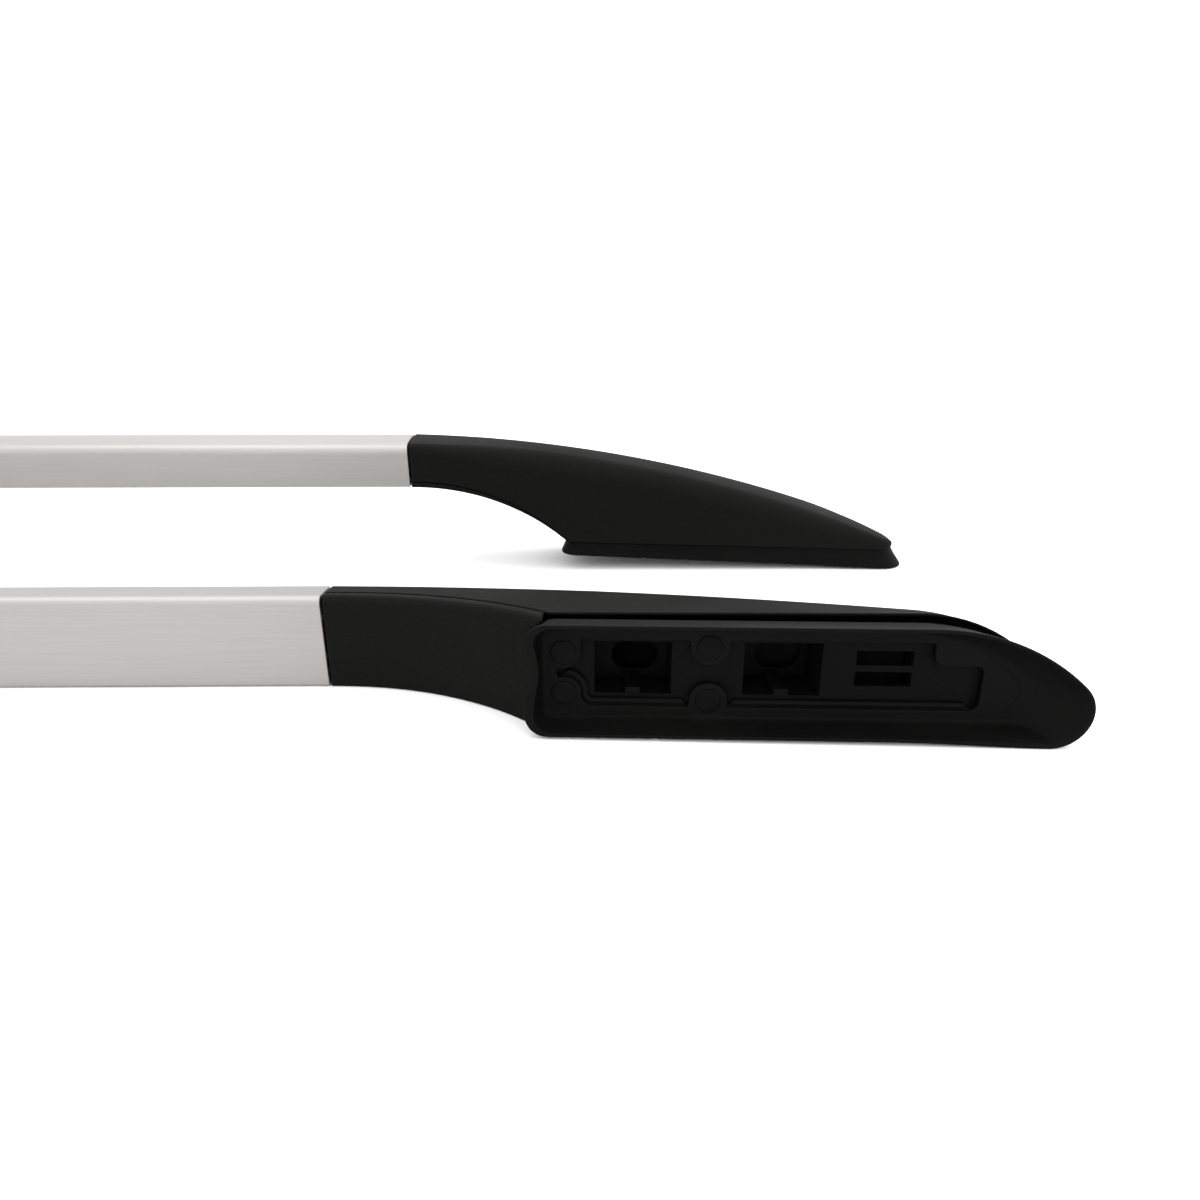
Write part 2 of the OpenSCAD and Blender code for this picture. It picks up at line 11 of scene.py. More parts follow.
import bmesh
import bpy
import numpy as np
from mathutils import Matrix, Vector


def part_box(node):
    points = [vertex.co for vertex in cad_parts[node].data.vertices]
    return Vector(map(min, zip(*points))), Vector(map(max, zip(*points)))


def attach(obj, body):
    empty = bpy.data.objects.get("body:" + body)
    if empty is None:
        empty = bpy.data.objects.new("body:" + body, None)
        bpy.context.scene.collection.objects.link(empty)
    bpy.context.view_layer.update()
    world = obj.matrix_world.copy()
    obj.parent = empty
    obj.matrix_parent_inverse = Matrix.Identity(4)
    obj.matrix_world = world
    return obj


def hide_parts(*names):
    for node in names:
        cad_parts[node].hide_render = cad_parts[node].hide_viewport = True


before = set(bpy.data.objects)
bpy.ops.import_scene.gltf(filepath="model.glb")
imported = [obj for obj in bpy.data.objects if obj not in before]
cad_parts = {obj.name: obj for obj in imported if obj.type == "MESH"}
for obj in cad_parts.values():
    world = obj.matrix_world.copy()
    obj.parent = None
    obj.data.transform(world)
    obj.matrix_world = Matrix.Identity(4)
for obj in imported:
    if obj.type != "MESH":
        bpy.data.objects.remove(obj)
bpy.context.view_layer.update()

# %% [markdown]
# ## Camera
# The photograph was taken with a wide lens from just above the lying rail. The
# camera was fitted to the outlines and seams of both rails, so it is typed in
# and not searched for here.

# %% The photograph's camera
lens = bpy.data.cameras.new("photo_camera")
lens.sensor_width = 36.0
lens.lens = 22.43
lens.clip_start = 0.01
camera = bpy.data.objects.new("photo_camera", lens)
camera.location = (0.562017, -0.34636, 0.15651)
camera.rotation_euler = (math.radians(67.202), 0.0, math.radians(-0.596))
bpy.context.scene.collection.objects.link(camera)
bpy.context.scene.camera = camera
print("camera", tuple(camera.location), "lens", lens.lens)

# %% [markdown]
# ## Sizes, in millimetres
# The foot axes are the ones the rails were drawn in: x from the end of the bar
# to the tip of the foot, y across the rail with the curved side at +y, and z up
# from the underside of the bar. What the frame can say, such as where the bars
# are, is read from the frame; the rest repeats the rails' own measures.

# %% Measures of the rail
# the bar, and the radii of its upper and lower edges
BAR_W, BAR_H, DRAFT = 40.0, 24.7, math.radians(4.5)
BAR_TOP_R, BAR_BACK_R, BAR_LOW_R, BAR_EDGE_R, BAR_WALL = 5.6, 4.6, 3.6, 1.5, 2.0
# the foot: neck and base, the roof's and the seam's slopes, the arch, the parting lines
NECK_LEN, FOOT_LEN, FOOT_DROP = 87.0, 204.3, 40.5
PITCH, SEAM_PITCH, SEAM_ROLL = math.radians(2.6), math.radians(1.6), math.radians(8.5)
NECK_R, NECK_LIFT, NECK_END = 135.0, 5.7, 92.0
LIP_LOW, LIP_HIGH, LIP_R = 3.2, 7.6, 3.6
# the cover: its wall and thin edge, the crown's edges, its long arc and its plan
COVER_WALL, EDGE_T, EDGE_H, CROWN_EDGE_R, CROWN_BACK_R = 2.6, 1.0, 4.0, 6.0, 5.0
CROWN_SLOPE, CROWN_RISE, NOSE_H, NOSE_BACK = math.radians(2.0), 0.3, 1.4, 6.8
CURVE_R, CROWN_LEAN, NOSE_R, CROWN_MORE = 60.0, 0.8, 12.0, 7.6
# the gasket, and the gaps between the pieces and between the two rails
GASKET_W, GASKET_H, GASKET_CURVE_R, GASKET_TIP_R = 44.4, 11.6, 80.0, 14.0
CORNER_R, PLATE_DEPTH, FLOOR_T, JOINT_X = 8.5, 12.0, 2.6, 133.5
SEAM_GAP, END_GAP, FIT_GAP, PART_GAP, RAIL_GAP = 0.6, 1.05, 0.25, 0.35, 161.0

bar_low, bar_high = (np.array(c) * 1000 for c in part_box("left_bar"))
HALF = (bar_high[0] - bar_low[0]) / 2
MID_X = (bar_high[0] + bar_low[0]) / 2
LEFT_Y = (bar_high[1] + bar_low[1]) / 2
STAND_Z = bar_low[2]
RIGHT_Y = LEFT_Y - RAIL_GAP
LIE_Z = BAR_W / 2 * math.cos(DRAFT)
# the slopes at which the bowed tops leave their front and back arcs
TILT_FRONT, TILT_BACK = math.radians(4.5), math.radians(4.5)


def ease(f):
    """0 below 0 and 1 above 1, with a smooth step 3f^2 - 2f^3 between."""
    f = np.clip(f, 0, 1)
    return f * f * (3 - 2 * f)


print("half a bar", round(HALF, 2), "underside of the standing bar", round(STAND_Z, 2))
print("bars at y", round(LEFT_Y, 2), round(RIGHT_Y, 2))

# %% [markdown]
# ## From a foot's axes to the rails
# The standing rail only has to be moved. The lying one is turned on its drafted
# straight side: its y points up and its z points back, both tilted by the
# draft. The rear feet are the front ones mirrored along the rail, so `end` is
# +1 or -1.

# %% Carry points to a rail
def place(rail, end, p):
    """Metres in the frame from foot millimetres: X = middle + end (half + x); the
    standing rail keeps y and z, the lying one swaps them through the draft."""
    x, y, z = p[..., 0], p[..., 1], p[..., 2]
    run = end * (HALF + x)
    if rail == "left":
        q = np.stack([MID_X + run, LEFT_Y + y, STAND_Z + z], -1)
    else:
        c, s = math.cos(DRAFT), math.sin(DRAFT)
        q = np.stack([run - MID_X, RIGHT_Y + s * y + c * z, LIE_Z + c * y - s * z], -1)
    return q / 1000


def to_foot(rail, end, p):
    """The way back: foot millimetres from metres in the frame."""
    q = np.asarray(p, float) * 1000
    if rail == "left":
        return np.stack([end * (q[:, 0] - MID_X) - HALF, q[:, 1] - LEFT_Y, q[:, 2] - STAND_Z], -1)
    c, s = math.cos(DRAFT), math.sin(DRAFT)
    dy, dz = q[:, 1] - RIGHT_Y, q[:, 2] - LIE_Z
    return np.stack([end * (q[:, 0] + MID_X) - HALF, s * dy + c * dz, c * dy - s * dz], -1)


FEET = [(rail, nm, end) for rail in ("left", "right") for nm, end in (("front", 1), ("rear", -1))]
print("feet", FEET)

# %% [markdown]
# ## One helper for every skin
# All the pieces are skins: rows of points, each row a line or a ring, joined by
# four-cornered faces. A skin that closes on itself in both directions is solid.
# Whether its faces look outwards is tested with the volume that they enclose,
# because the mirrored feet turn every face round.

# %% Rows of points to a mesh
MERGE_DIST = 1e-6  # metres


def make_skin(name, rows, material, replaces=None, close_rows=True, close_cols=True, caps=False):
    """Rows (K, N, 3) in metres. Face (i, j) joins points (i, j), (i, j+1),
    (i+1, j+1) and (i+1, j), with the last row or column joined to the first.
    With caps, the first and the last column are each shut by faces across."""
    k, n = rows.shape[:2]
    row_starts = np.arange(k if close_rows else k - 1)
    col_starts = np.arange(n if close_cols else n - 1)
    i, j = np.meshgrid(row_starts, col_starts, indexing="ij")
    i2, j2 = (i + 1) % k, (j + 1) % n
    quads = np.stack([i * n + j, i * n + j2, i2 * n + j2, i2 * n + j], -1).reshape(-1, 4)
    if caps:
        # pair each point of the first half of the rows with its partner across
        half = np.arange(k // 2 - 1 + k % 2)
        for col in (0, n - 1):
            here, across = half * n + col, (k - 1 - half) * n + col
            q = np.stack([here, here + n, across - n, across], -1)
            quads = np.concatenate([quads, q if col == 0 else q[:, ::-1]])
    points = rows.reshape(-1, 3)
    a, b, c, d = (points[quads[:, t]] for t in range(4))
    volume = sum(np.einsum("ij,ij->", a, np.cross(u, v)) for u, v in ((b, c), (c, d))) / 6
    if volume < 0:
        quads = quads[:, ::-1]
    mesh = bpy.data.meshes.new(name)
    mesh.vertices.add(len(points))
    mesh.vertices.foreach_set("co", points.astype(np.float32).ravel())
    mesh.loops.add(quads.size)
    mesh.loops.foreach_set("vertex_index", quads.astype(np.int32).ravel())
    mesh.polygons.add(len(quads))
    mesh.polygons.foreach_set("loop_start", np.arange(0, quads.size, 4, dtype=np.int32))
    mesh.polygons.foreach_set("loop_total", np.full(len(quads), 4, np.int32))
    mesh.update(calc_edges=True)
    bm = bmesh.new()
    bm.from_mesh(mesh)
    bmesh.ops.remove_doubles(bm, verts=bm.verts, dist=MERGE_DIST)
    bm.to_mesh(mesh)
    bm.free()
    mesh.validate()
    mesh.polygons.foreach_set("use_smooth", np.ones(len(mesh.polygons), bool))
    return finish_piece(bpy.data.objects.new(name, mesh), material, replaces, abs(volume) * 1e6)


def finish_piece(piece, material, replaces, cm3=0.0):
    """Links a piece, gives it its material and slot, parents it to the root body and hides the solid that
    it replaces.
    """
    bpy.context.scene.collection.objects.link(piece)
    piece.data.materials.clear()
    piece.data.materials.append(material)
    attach(piece, "root")
    if replaces:
        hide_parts(replaces)
    print(piece.name, len(piece.data.polygons), "faces", round(cm3, 1), "cm3")
    return piece


# %% [markdown]
# ## Rounded corners
# No moulded or drawn edge is sharp, and the thin line of light on a rounded
# edge is most of what tells the eye what a part is made of. A section is kept
# as a list of lines that run along the part, and each corner line may be
# softened into a few that follow a small curve.

# %% Soften the corners of a section
def soften(lines, radii, steps):
    """Round corner B: (1-t)^2 A + 2t(1-t) B + t^2 C, where A and C lie r away
    from B towards its neighbours, or at most 45% of the way."""
    out, n = [], len(lines)
    for k, (b, r) in enumerate(zip(lines, radii)):
        if r <= 0:
            out.append(b)
            continue
        ends = []
        for other in (lines[k - 1], lines[(k + 1) % n]):
            away = other - b
            length = np.linalg.norm(away, axis=-1, keepdims=True)
            ends.append(b + away * np.minimum(r / np.maximum(length, 1e-6), 0.45))
        for t in np.linspace(0, 1, steps + 1):
            out.append((1 - t) ** 2 * ends[0] + 2 * t * (1 - t) * b + t * t * ends[1])
    return out


# %% [markdown]
# ## Finishes
# The bar is extruded aluminium, blasted and anodised: a metal with a soft, even
# sheen and a very fine grain that runs along it, drawn by the die. The grain is
# a noise texture squeezed across the bar and stretched along it, and it drives
# a little of the colour, the roughness and the bump.

# %% Node helpers
def new_material(name, **sockets):
    """A Principled material whose even values sit on the shader's own sockets."""
    material = bpy.data.materials.new(name)
    material.use_nodes = True
    shader = material.node_tree.nodes["Principled BSDF"]
    for key, value in sockets.items():
        shader.inputs[key.replace("_", " ")].default_value = value
    print("finish", name)
    return material, material.node_tree, shader


def add_node(tree, kind, **values):
    """A node with its properties, or its inputs, set by name."""
    node = tree.nodes.new(kind)
    for key, value in values.items():
        if key in node.inputs:
            node.inputs[key].default_value = value
        else:
            setattr(node, key, value)
    return node


def noise_at(tree, scale, detail=2.0, stretch=(1, 1, 1)):
    """Noise on Object coordinates, stretched by dividing each axis by `stretch`."""
    coordinates = add_node(tree, "ShaderNodeTexCoord")
    mapping = add_node(tree, "ShaderNodeMapping", Scale=[1 / s for s in stretch])
    noise = add_node(tree, "ShaderNodeTexNoise", Scale=scale, Detail=detail)
    tree.links.new(coordinates.outputs["Object"], mapping.inputs["Vector"])
    tree.links.new(mapping.outputs["Vector"], noise.inputs["Vector"])
    return noise.outputs["Fac"]


def vary(tree, source, low, high, socket):
    """Drives a socket with a 0 to 1 value through a colour ramp: `low` up to 0.3,
    `high` from 0.7 and a straight blend between. Both are greys or colours."""
    node = tree.nodes.new("ShaderNodeValToRGB")
    for k, (at, value) in enumerate(((0.3, low), (0.7, high))):
        element = node.color_ramp.elements[k]
        element.position = at
        element.color = (*value, 1) if hasattr(value, "__len__") else (value, value, value, 1)
    tree.links.new(source, node.inputs["Fac"])
    tree.links.new(node.outputs["Color"], socket)


def add_bumps(tree, shader, layers):
    """Bump nodes in a chain; layers are (height socket, distance in m, strength)."""
    normal = None
    for height, distance, strength in layers:
        bump = tree.nodes.new("ShaderNodeBump")
        bump.inputs["Distance"].default_value = distance
        bump.inputs["Strength"].default_value = strength
        tree.links.new(height, bump.inputs["Height"])
        if normal:
            tree.links.new(normal, bump.inputs["Normal"])
        normal = bump.outputs["Normal"]
    tree.links.new(normal, shader.inputs["Normal"])


# %% Satin anodised aluminium
aluminium, tree, shader = new_material("satin_anodised_aluminium", Metallic=0.9)
grain = noise_at(tree, 1500, 3, (60, 1, 1))
cloud = noise_at(tree, 9, 2, (6, 1, 1))
vary(tree, grain, (0.322, 0.312, 0.302), (0.347, 0.336, 0.325), shader.inputs["Base Color"])
vary(tree, cloud, 0.42, 0.50, shader.inputs["Roughness"])
add_bumps(tree, shader, [(grain, 0.00002, 0.35), (noise_at(tree, 2600, 2), 0.00002, 0.25)])

# %% [markdown]
# The feet are black moulded plastic. The mould is spark-eroded, which leaves a
# fine even grain of about half a millimetre, dull from the front and lighter at
# a grazing angle. A larger, faint noise breaks up the gloss as handling does.

# %% Grained black plastic
def black_plastic(name, base, rough, grain_height):
    """Black plastic: two sizes of grain as bump, colour and gloss varied a little."""
    material, tree, shader = new_material(name, Specular_IOR_Level=0.036)
    fine = noise_at(tree, 2400, 2)
    coarse = noise_at(tree, 900, 2)
    hand = noise_at(tree, 22, 3)
    vary(tree, fine, [b * 0.75 for b in base], [b * 1.3 for b in base], shader.inputs["Base Color"])
    vary(tree, hand, rough - 0.04, rough + 0.05, shader.inputs["Roughness"])
    add_bumps(tree, shader, [(coarse, grain_height, 0.5), (fine, grain_height, 0.5)])
    return material


cover_plastic = black_plastic("grained_cover_plastic", (0.0044, 0.0044, 0.0040), 0.62, 0.00008)
carrier_plastic = black_plastic("smooth_carrier_plastic", (0.0025, 0.0025, 0.0025), 0.58, 0.00003)
pin_plastic = black_plastic("smooth_pin_plastic", (0.0028, 0.0028, 0.0028), 0.55, 0.00002)

# %% [markdown]
# The gasket is soft black rubber, smoother than the covers, with faint flow
# lines along its lip where the rubber filled the mould.

# %% Soft black rubber
rubber, tree, shader = new_material("soft_black_rubber", Specular_IOR_Level=0.045)
bloom = noise_at(tree, 60, 3, (2, 1, 1))
skin_noise = noise_at(tree, 1600, 2)
vary(tree, bloom, (0.0023, 0.0023, 0.0022), (0.0034, 0.0034, 0.0032), shader.inputs["Base Color"])
vary(tree, bloom, 0.55, 0.64, shader.inputs["Roughness"])
add_bumps(tree, shader, [(noise_at(tree, 220, 2, (8, 1, 1)), 0.00006, 0.4), (skin_noise, 0.00003, 0.4)])

# %% Zinc-plated screws
steel, tree, shader = new_material("zinc_plated_steel", Metallic=1.0)
vary(tree, noise_at(tree, 700, 3), (0.42, 0.42, 0.44), (0.58, 0.58, 0.57), shader.inputs["Base Color"])
vary(tree, noise_at(tree, 300, 3), 0.28, 0.45, shader.inputs["Roughness"])
add_bumps(tree, shader, [(noise_at(tree, 1500, 2), 0.00003, 0.3)])
for name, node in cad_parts.items():
    if name.endswith("_screws"):
        for material_slot in node.material_slots:
            material_slot.material = steel

# %% [markdown]
# ## The bars
# Each bar is one extruded tube: sides drafted a few degrees, wide round upper
# edges, smaller lower ones and a top that is a little bowed, which makes its
# gleam soft. A cylinder or a cube with a bevel could not give these, so the
# section is worked out as one ring and carried along the bar. The ends are
# chamfered a little, as a sawn and deburred end is, and the tube's inside is
# the same ring taken in by the wall.

# %% The bar's section and skin
CHAMFER, SEAM_LEAN, SEAM_LEAN_MORE = 0.3, 1.0, 3.2


def side_w(z):
    """Half width at height z: half the bar less z times the draft's tangent."""
    return BAR_W / 2 - z * math.tan(DRAFT)


def arc(cx, cy, r, a0, a1, n=120):
    """Points on a circle from angle a0 to a1, in radians."""
    a = np.linspace(a0, a1, n)
    return np.stack([cx + r * np.cos(a), cy + r * np.sin(a)], -1)


def between(p, q, n=12):
    """n points on the straight line from p to q, ends left out."""
    return p + (q - p) * np.linspace(0, 1, n + 2)[1:-1, None]


def crown_parts(top, in_l, in_r, rl, rr):
    """The upper part of a section whose highest point is `top`: centres of the
    arcs of the straight and of the curved side, tangent to the drafted sides,
    and the ends of the parabola between them, which starts at TILT_FRONT and
    ends at TILT_BACK. Arcs and parabola depend on each other, so three rounds."""
    tf, tb = math.tan(TILT_FRONT), math.tan(TILT_BACK)
    z_l, z_r = top - rl, top - rr
    for _ in range(3):
        c_l = in_l + rl / math.cos(DRAFT) - side_w(z_l)
        c_r = side_w(z_r) - in_r - rr / math.cos(DRAFT)
        a, b = c_l - rl * math.sin(TILT_FRONT), c_r + rr * math.sin(TILT_BACK)
        top_a = top - (b - a) * tf * tf / (2 * (tf + tb))
        top_b = top_a + (b - a) * (tf - tb) / 2
        z_l, z_r = top_a - rl * math.cos(TILT_FRONT), top_b - rr * math.cos(TILT_BACK)
    return c_l, z_l, c_r, z_r, a, b, top_a


def over_top(a, b, top_a, f):
    """Height of the bowed top a share f of the way from a to b."""
    tf, tb = math.tan(TILT_FRONT), math.tan(TILT_BACK)
    return top_a + (b - a) * (tf * f - (tf + tb) * f * f / 2)


def seam_shift(y, z):
    """The seam between bar and cover leans over the bar by SEAM_LEAN, and by up
    to SEAM_LEAN_MORE on top of that towards the curved side's upper edge."""
    across = np.clip((y + BAR_W / 2) / BAR_W, 0, 1)
    return -SEAM_LEAN - SEAM_LEAN_MORE * across * np.clip(z / BAR_H, 0, 1)


def bar_ring(t=0.0, n=17, n_top=25):
    """The section taken in by t, anticlockwise from the curved side's low arc.
    The arcs of the straight side are worked out mirrored and turned back."""
    rl, rr, inset = BAR_TOP_R - t, BAR_BACK_R - t, t / math.cos(DRAFT)
    c_l, z_l, c_r, z_r, a, b, top_a = crown_parts(BAR_H - t, inset, inset, rl, rr)
    low, low_l = (arc(side_w(r) - r / math.cos(DRAFT), r, r - t, -np.pi / 2, DRAFT, n)
                  for r in (BAR_LOW_R, BAR_EDGE_R))
    low_l = (low_l * [-1, 1])[::-1]
    back = arc(c_r, z_r, rr, DRAFT, np.pi / 2 - TILT_BACK, n)
    front = (arc(-c_l, z_l, rl, DRAFT, np.pi / 2 - TILT_FRONT, n) * [-1, 1])[::-1]
    f = np.linspace(1, 0, n_top + 2)[1:-1]
    top = np.stack([a + f * (b - a), over_top(a, b, top_a, f)], -1)
    return np.concatenate([low, between(low[-1], back[0]), back, top, front,
                           between(front[-1], low_l[0]), low_l, between(low_l[-1], low[0])])


def bar_rows():
    """Rings along the bar: outside, over the chamfered end, inside and back."""
    outer, trim, inner = bar_ring(), bar_ring(CHAMFER), bar_ring(BAR_WALL)
    full = HALF - CHAMFER
    stations = (-full, outer), (full, outer), (HALF, trim), (HALF, inner), (-HALF, inner), (-HALF, trim)
    rows = []
    for x, ring in stations:
        shift = np.sign(x) * seam_shift(ring[:, 0], ring[:, 1])
        rows.append(np.column_stack([x - HALF + shift, ring]))
    return np.array(rows)


for rail in ("left", "right"):
    make_skin(f"{rail}_bar_tube", place(rail, 1, bar_rows()), aluminium, f"{rail}_bar")

# %% [markdown]
# ## The foot's heights
# A few formulas shape the whole foot: the roof plane, the seam between cover
# and gasket, the arch under the neck, the two parting lines of the neck and the
# one long arc of the crown.

# %% Heights along the foot
ARCH_OVER, LIP_FALL, LIP_GAIN = 4.0, 0.7, 0.2
TIP_X = NECK_LEN + FOOT_LEN * math.cos(PITCH)
NOSE_X = TIP_X - NOSE_BACK
NECK_FALL = FOOT_DROP - NECK_LIFT
NECK_START = NECK_END - math.sqrt(2 * NECK_R * NECK_FALL - NECK_FALL**2)


def seam_z(x, y):
    """The seam is a plane: down along the foot by its pitch, up across by its roll."""
    return -FOOT_DROP + GASKET_H - (x - NECK_LEN) * math.tan(SEAM_PITCH) + y * math.tan(SEAM_ROLL)


def neck_z(x):
    """The arch: a circle of NECK_R that leaves the bar level and goes on by
    ARCH_OVER past the neck's end."""
    run = np.maximum(0, np.minimum(x, NECK_END + ARCH_OVER) - NECK_START)
    return np.sqrt(NECK_R**2 - run**2) - NECK_R


def lip_z(x, y):
    """The parting surface: straight across from the lower parting line, which
    comes nearer to the arch along the neck, to the higher one, which rises."""
    far = np.maximum(0, x / NECK_LEN) ** 2
    low = neck_z(x) + LIP_LOW * (1 - LIP_FALL * far)
    high = neck_z(x) + LIP_HIGH * (1 + LIP_GAIN * far)
    return (low + high) / 2 + (high - low) * y / BAR_W


SEAM_W = side_w(seam_z(NOSE_X, 0.0))
crown_z0 = BAR_H + CROWN_RISE
crown_d = crown_z0 - seam_z(NOSE_X, NOSE_R - SEAM_W) - NOSE_H
crown_turn = crown_d * math.cos(CROWN_SLOPE) - NOSE_X * math.sin(CROWN_SLOPE)
crown_r = (NOSE_X**2 + crown_d**2) / (2 * crown_turn)


def crown_z(x):
    """The crown: one circle that leaves the bar at CROWN_SLOPE and ends at the nose."""
    x0, z0 = -crown_r * math.sin(CROWN_SLOPE), crown_z0 - crown_r * math.cos(CROWN_SLOPE)
    return z0 + np.sqrt(crown_r**2 - (x - x0) ** 2)


print("tip", round(TIP_X, 2), "crown radius", round(crown_r, 1), "seam half width", round(SEAM_W, 2))

# %% [markdown]
# ## Plan of the foot
# Seen from above the foot has one straight side and one that curves in to a
# rounded tip. Straight side, big arc and tip arc are tangent to each other.

# %% Insets of the plan
def curve_start(xt, w, rc, rt, fl=0.0):
    """Where the curved side's arc begins, so that it runs into the tip's arc."""
    return xt - rt - np.sqrt((rc - rt) ** 2 - (rc + rt - 2 * w - fl) ** 2)


def insets(x, t):
    """How far the plan lies in from the drafted sides, curved and straight side,
    for a cover taken in by t all round."""
    xt, w, rc, rt = NOSE_X - t, SEAM_W - t, CURVE_R - t, NOSE_R - t
    c = curve_start(xt, w, rc, rt)
    a = np.arctan2(rc + rt - 2 * w, xt - rt - c)
    tip = np.sqrt(np.maximum(0, rt**2 - (x - xt + rt) ** 2))
    side = rc - np.sqrt(np.maximum(0, rc**2 - (x - c) ** 2))
    curved = np.where(x <= c, 0, np.where(x <= c + rc * np.cos(a), side, 2 * w - rt - tip))
    straight = np.where(x <= xt - rt, 0, rt - tip)
    return curved + t, straight + t


print("curved side begins to turn in at", round(float(curve_start(NOSE_X, SEAM_W, CURVE_R, NOSE_R)), 1))

# %% [markdown]
# ## The covers
# The cover is a shell about 2.6 mm thick, thinner at its edge where it laps
# over the gasket. Its outside and its inside are the same function of station
# and section, taken in by nothing or by the wall. The section runs up the
# straight side, over the crown and down the curved side; the stations are even
# along the foot and crowd together round the nose.

# %% Lines of the cover
# the lower edge: raised, rolled, falling past the neck, and how softly it turns
EDGE_LIFT, EDGE_ROLL, EDGE_FALL, EDGE_BLEND = 0.9, 0.02, 6.0, 0.15
# the height at which the sides are first measured, and the least wall over the lap
MID_Z, LEAST_WALL = -25.0, 0.05
# the crown's round nose, and its lean to the straight side along the foot
TIP_R, TIP_DROP, LEAN_START, LEAN_GROWTH = 4.0, 0.5, 25.0, 120.0
# the arcs' radii: growth along the foot, and limits by the section's height and width
ARC_GROWTH, BACK_MORE, LEAST_R, LEAST_ROOM = 75.0, 0.5, 1.2, 0.3
HEIGHT_SHARE, WIDTH_SHARE = 0.85, 0.42


def cover_stations(t, x0, n=150, n_nose=30):
    """Even steps to the nose's arc, then equal angles round it."""
    xt, rt = NOSE_X - t, NOSE_R - t
    a = np.linspace(0, np.pi / 2, n_nose + 1)[1:]
    return np.concatenate([np.linspace(x0, xt - rt, n), xt - rt + rt * np.sin(a)])


def edge_z(x, y):
    """The cover's lower edge: the neck's parting surface, raised and rolled a
    little, or the seam, whichever is higher: seam + (d + root(d^2 + EDGE_BLEND)) / 2,
    where d is the height between them."""
    past = np.maximum(0, x - NECK_END)
    lip = lip_z(np.minimum(x, NECK_END), y) + EDGE_LIFT + EDGE_ROLL * y - EDGE_FALL * past
    seam = seam_z(x, y)
    d = lip - seam
    return seam + 0.5 * (d + np.sqrt(d * d + EDGE_BLEND))


def side_lines(curved, straight, z):
    """Where the straight and the curved side are at height z, across the foot."""
    return straight - side_w(z), side_w(z) - curved


def crown_form(x, t):
    """The crown at stations x, taken in by t: crown_parts, both radii and both
    insets. A radius grows along the neck and shrinks where the foot gets narrow
    or low."""
    xt = NOSE_X - t
    x = np.minimum(x, xt)
    curved, straight = insets(x, t)
    fall = TIP_R - np.sqrt(np.maximum(0, TIP_R**2 - (x - xt + TIP_R) ** 2))
    top = crown_z(x) - t - TIP_DROP * np.where(x > xt - TIP_R, fall, 0)
    lean = CROWN_LEAN * np.clip((x - NECK_LEN - LEAN_START) / LEAN_GROWTH, 0, 1)
    width = np.maximum(2 * side_w(top) - curved - lean - straight, 0)
    growth = ((CROWN_EDGE_R, CROWN_MORE), (CROWN_BACK_R, BACK_MORE))
    radii = []
    for y, (r0, more) in zip(side_lines(curved, straight, MID_Z), growth):
        wanted = np.maximum(r0 + more * ease(x / ARC_GROWTH) - t, LEAST_R)
        room = HEIGHT_SHARE * np.maximum(top - seam_z(x, y), LEAST_ROOM)
        radii.append(np.minimum(np.minimum(wanted, WIDTH_SHARE * width), room))
    return (*crown_parts(top, straight, curved + lean, *radii), *radii, curved, straight)


def crown_height(x, y, t):
    """Height of the crown taken in by t over any point: left arc, top or right arc."""
    c_l, z_l, c_r, z_r, a, b, top_a, rl, rr, *_ = crown_form(np.maximum(x, 0), t)
    f = (y - a) / np.maximum(b - a, 1e-3)
    left, right = (z + np.sqrt(np.maximum(0, r * r - (y - c) ** 2))
                   for c, z, r in ((c_l, z_l, rl), (c_r, z_r, rr)))
    return np.where(y < a, left, np.where(y > b, right, over_top(a, b, top_a, f)))


def cover_lines(t, x, lift=0.0, n_wall=16, n_arc=16, n_top=14):
    """Lines from the straight side's edge over the crown to the curved side's:
    drafted walls, the two arcs and the bowed top between them. The edge is
    lifted by `lift`, but not past the start of the arcs."""
    c_l, z_l, c_r, z_r, a, b, top_a, rl, rr, curved, straight = crown_form(x, t)
    wall_l = c_l - rl * math.cos(DRAFT), z_l + rl * math.sin(DRAFT)
    wall_r = c_r + rr * math.cos(DRAFT), z_r + rr * math.sin(DRAFT)
    zl, zr = (edge_z(x, y) + lift for y in side_lines(curved, straight, MID_Z))
    if lift:
        zl, zr = (np.minimum(z, wall[1] - LEAST_WALL) for z, wall in ((zl, wall_l), (zr, wall_r)))
    yl, yr = straight - side_w(zl), side_w(zr) - curved
    lines = []
    for f in np.linspace(0, 1, n_wall, endpoint=False):
        lines.append(np.stack([x, yl + f * (wall_l[0] - yl), zl + f * (wall_l[1] - zl)], -1))
    for turn in np.linspace(DRAFT, np.pi / 2 - TILT_FRONT, n_arc):
        lines.append(np.stack([x, c_l - rl * math.cos(turn), z_l + rl * math.sin(turn)], -1))
    for f in np.linspace(0, 1, n_top + 1)[1:-1]:
        lines.append(np.stack([x, a + f * (b - a), over_top(a, b, top_a, f)], -1))
    for turn in np.linspace(np.pi / 2 - TILT_BACK, DRAFT, n_arc):
        lines.append(np.stack([x, c_r + rr * math.cos(turn), z_r + rr * math.sin(turn)], -1))
    for f in 1 - np.linspace(1, 0, n_wall, endpoint=False)[::-1]:
        lines.append(np.stack([x, yr + f * (wall_r[0] - yr), zr + f * (wall_r[1] - zr)], -1))
    return lines


# %% The cover's shell
LAP_MORE, EDGE_ROUND, LAP_ROUND, LEAN_RUN = 0.4, 0.2, 0.35, 40.0
# the round end at the bar: stations drawn in towards the middle by, moved along by
MIDDLE = (0, 0, 12.0)
END_ROUND = ((0.35, 0.0), (0.1, 0.1), (0.0, 0.35))


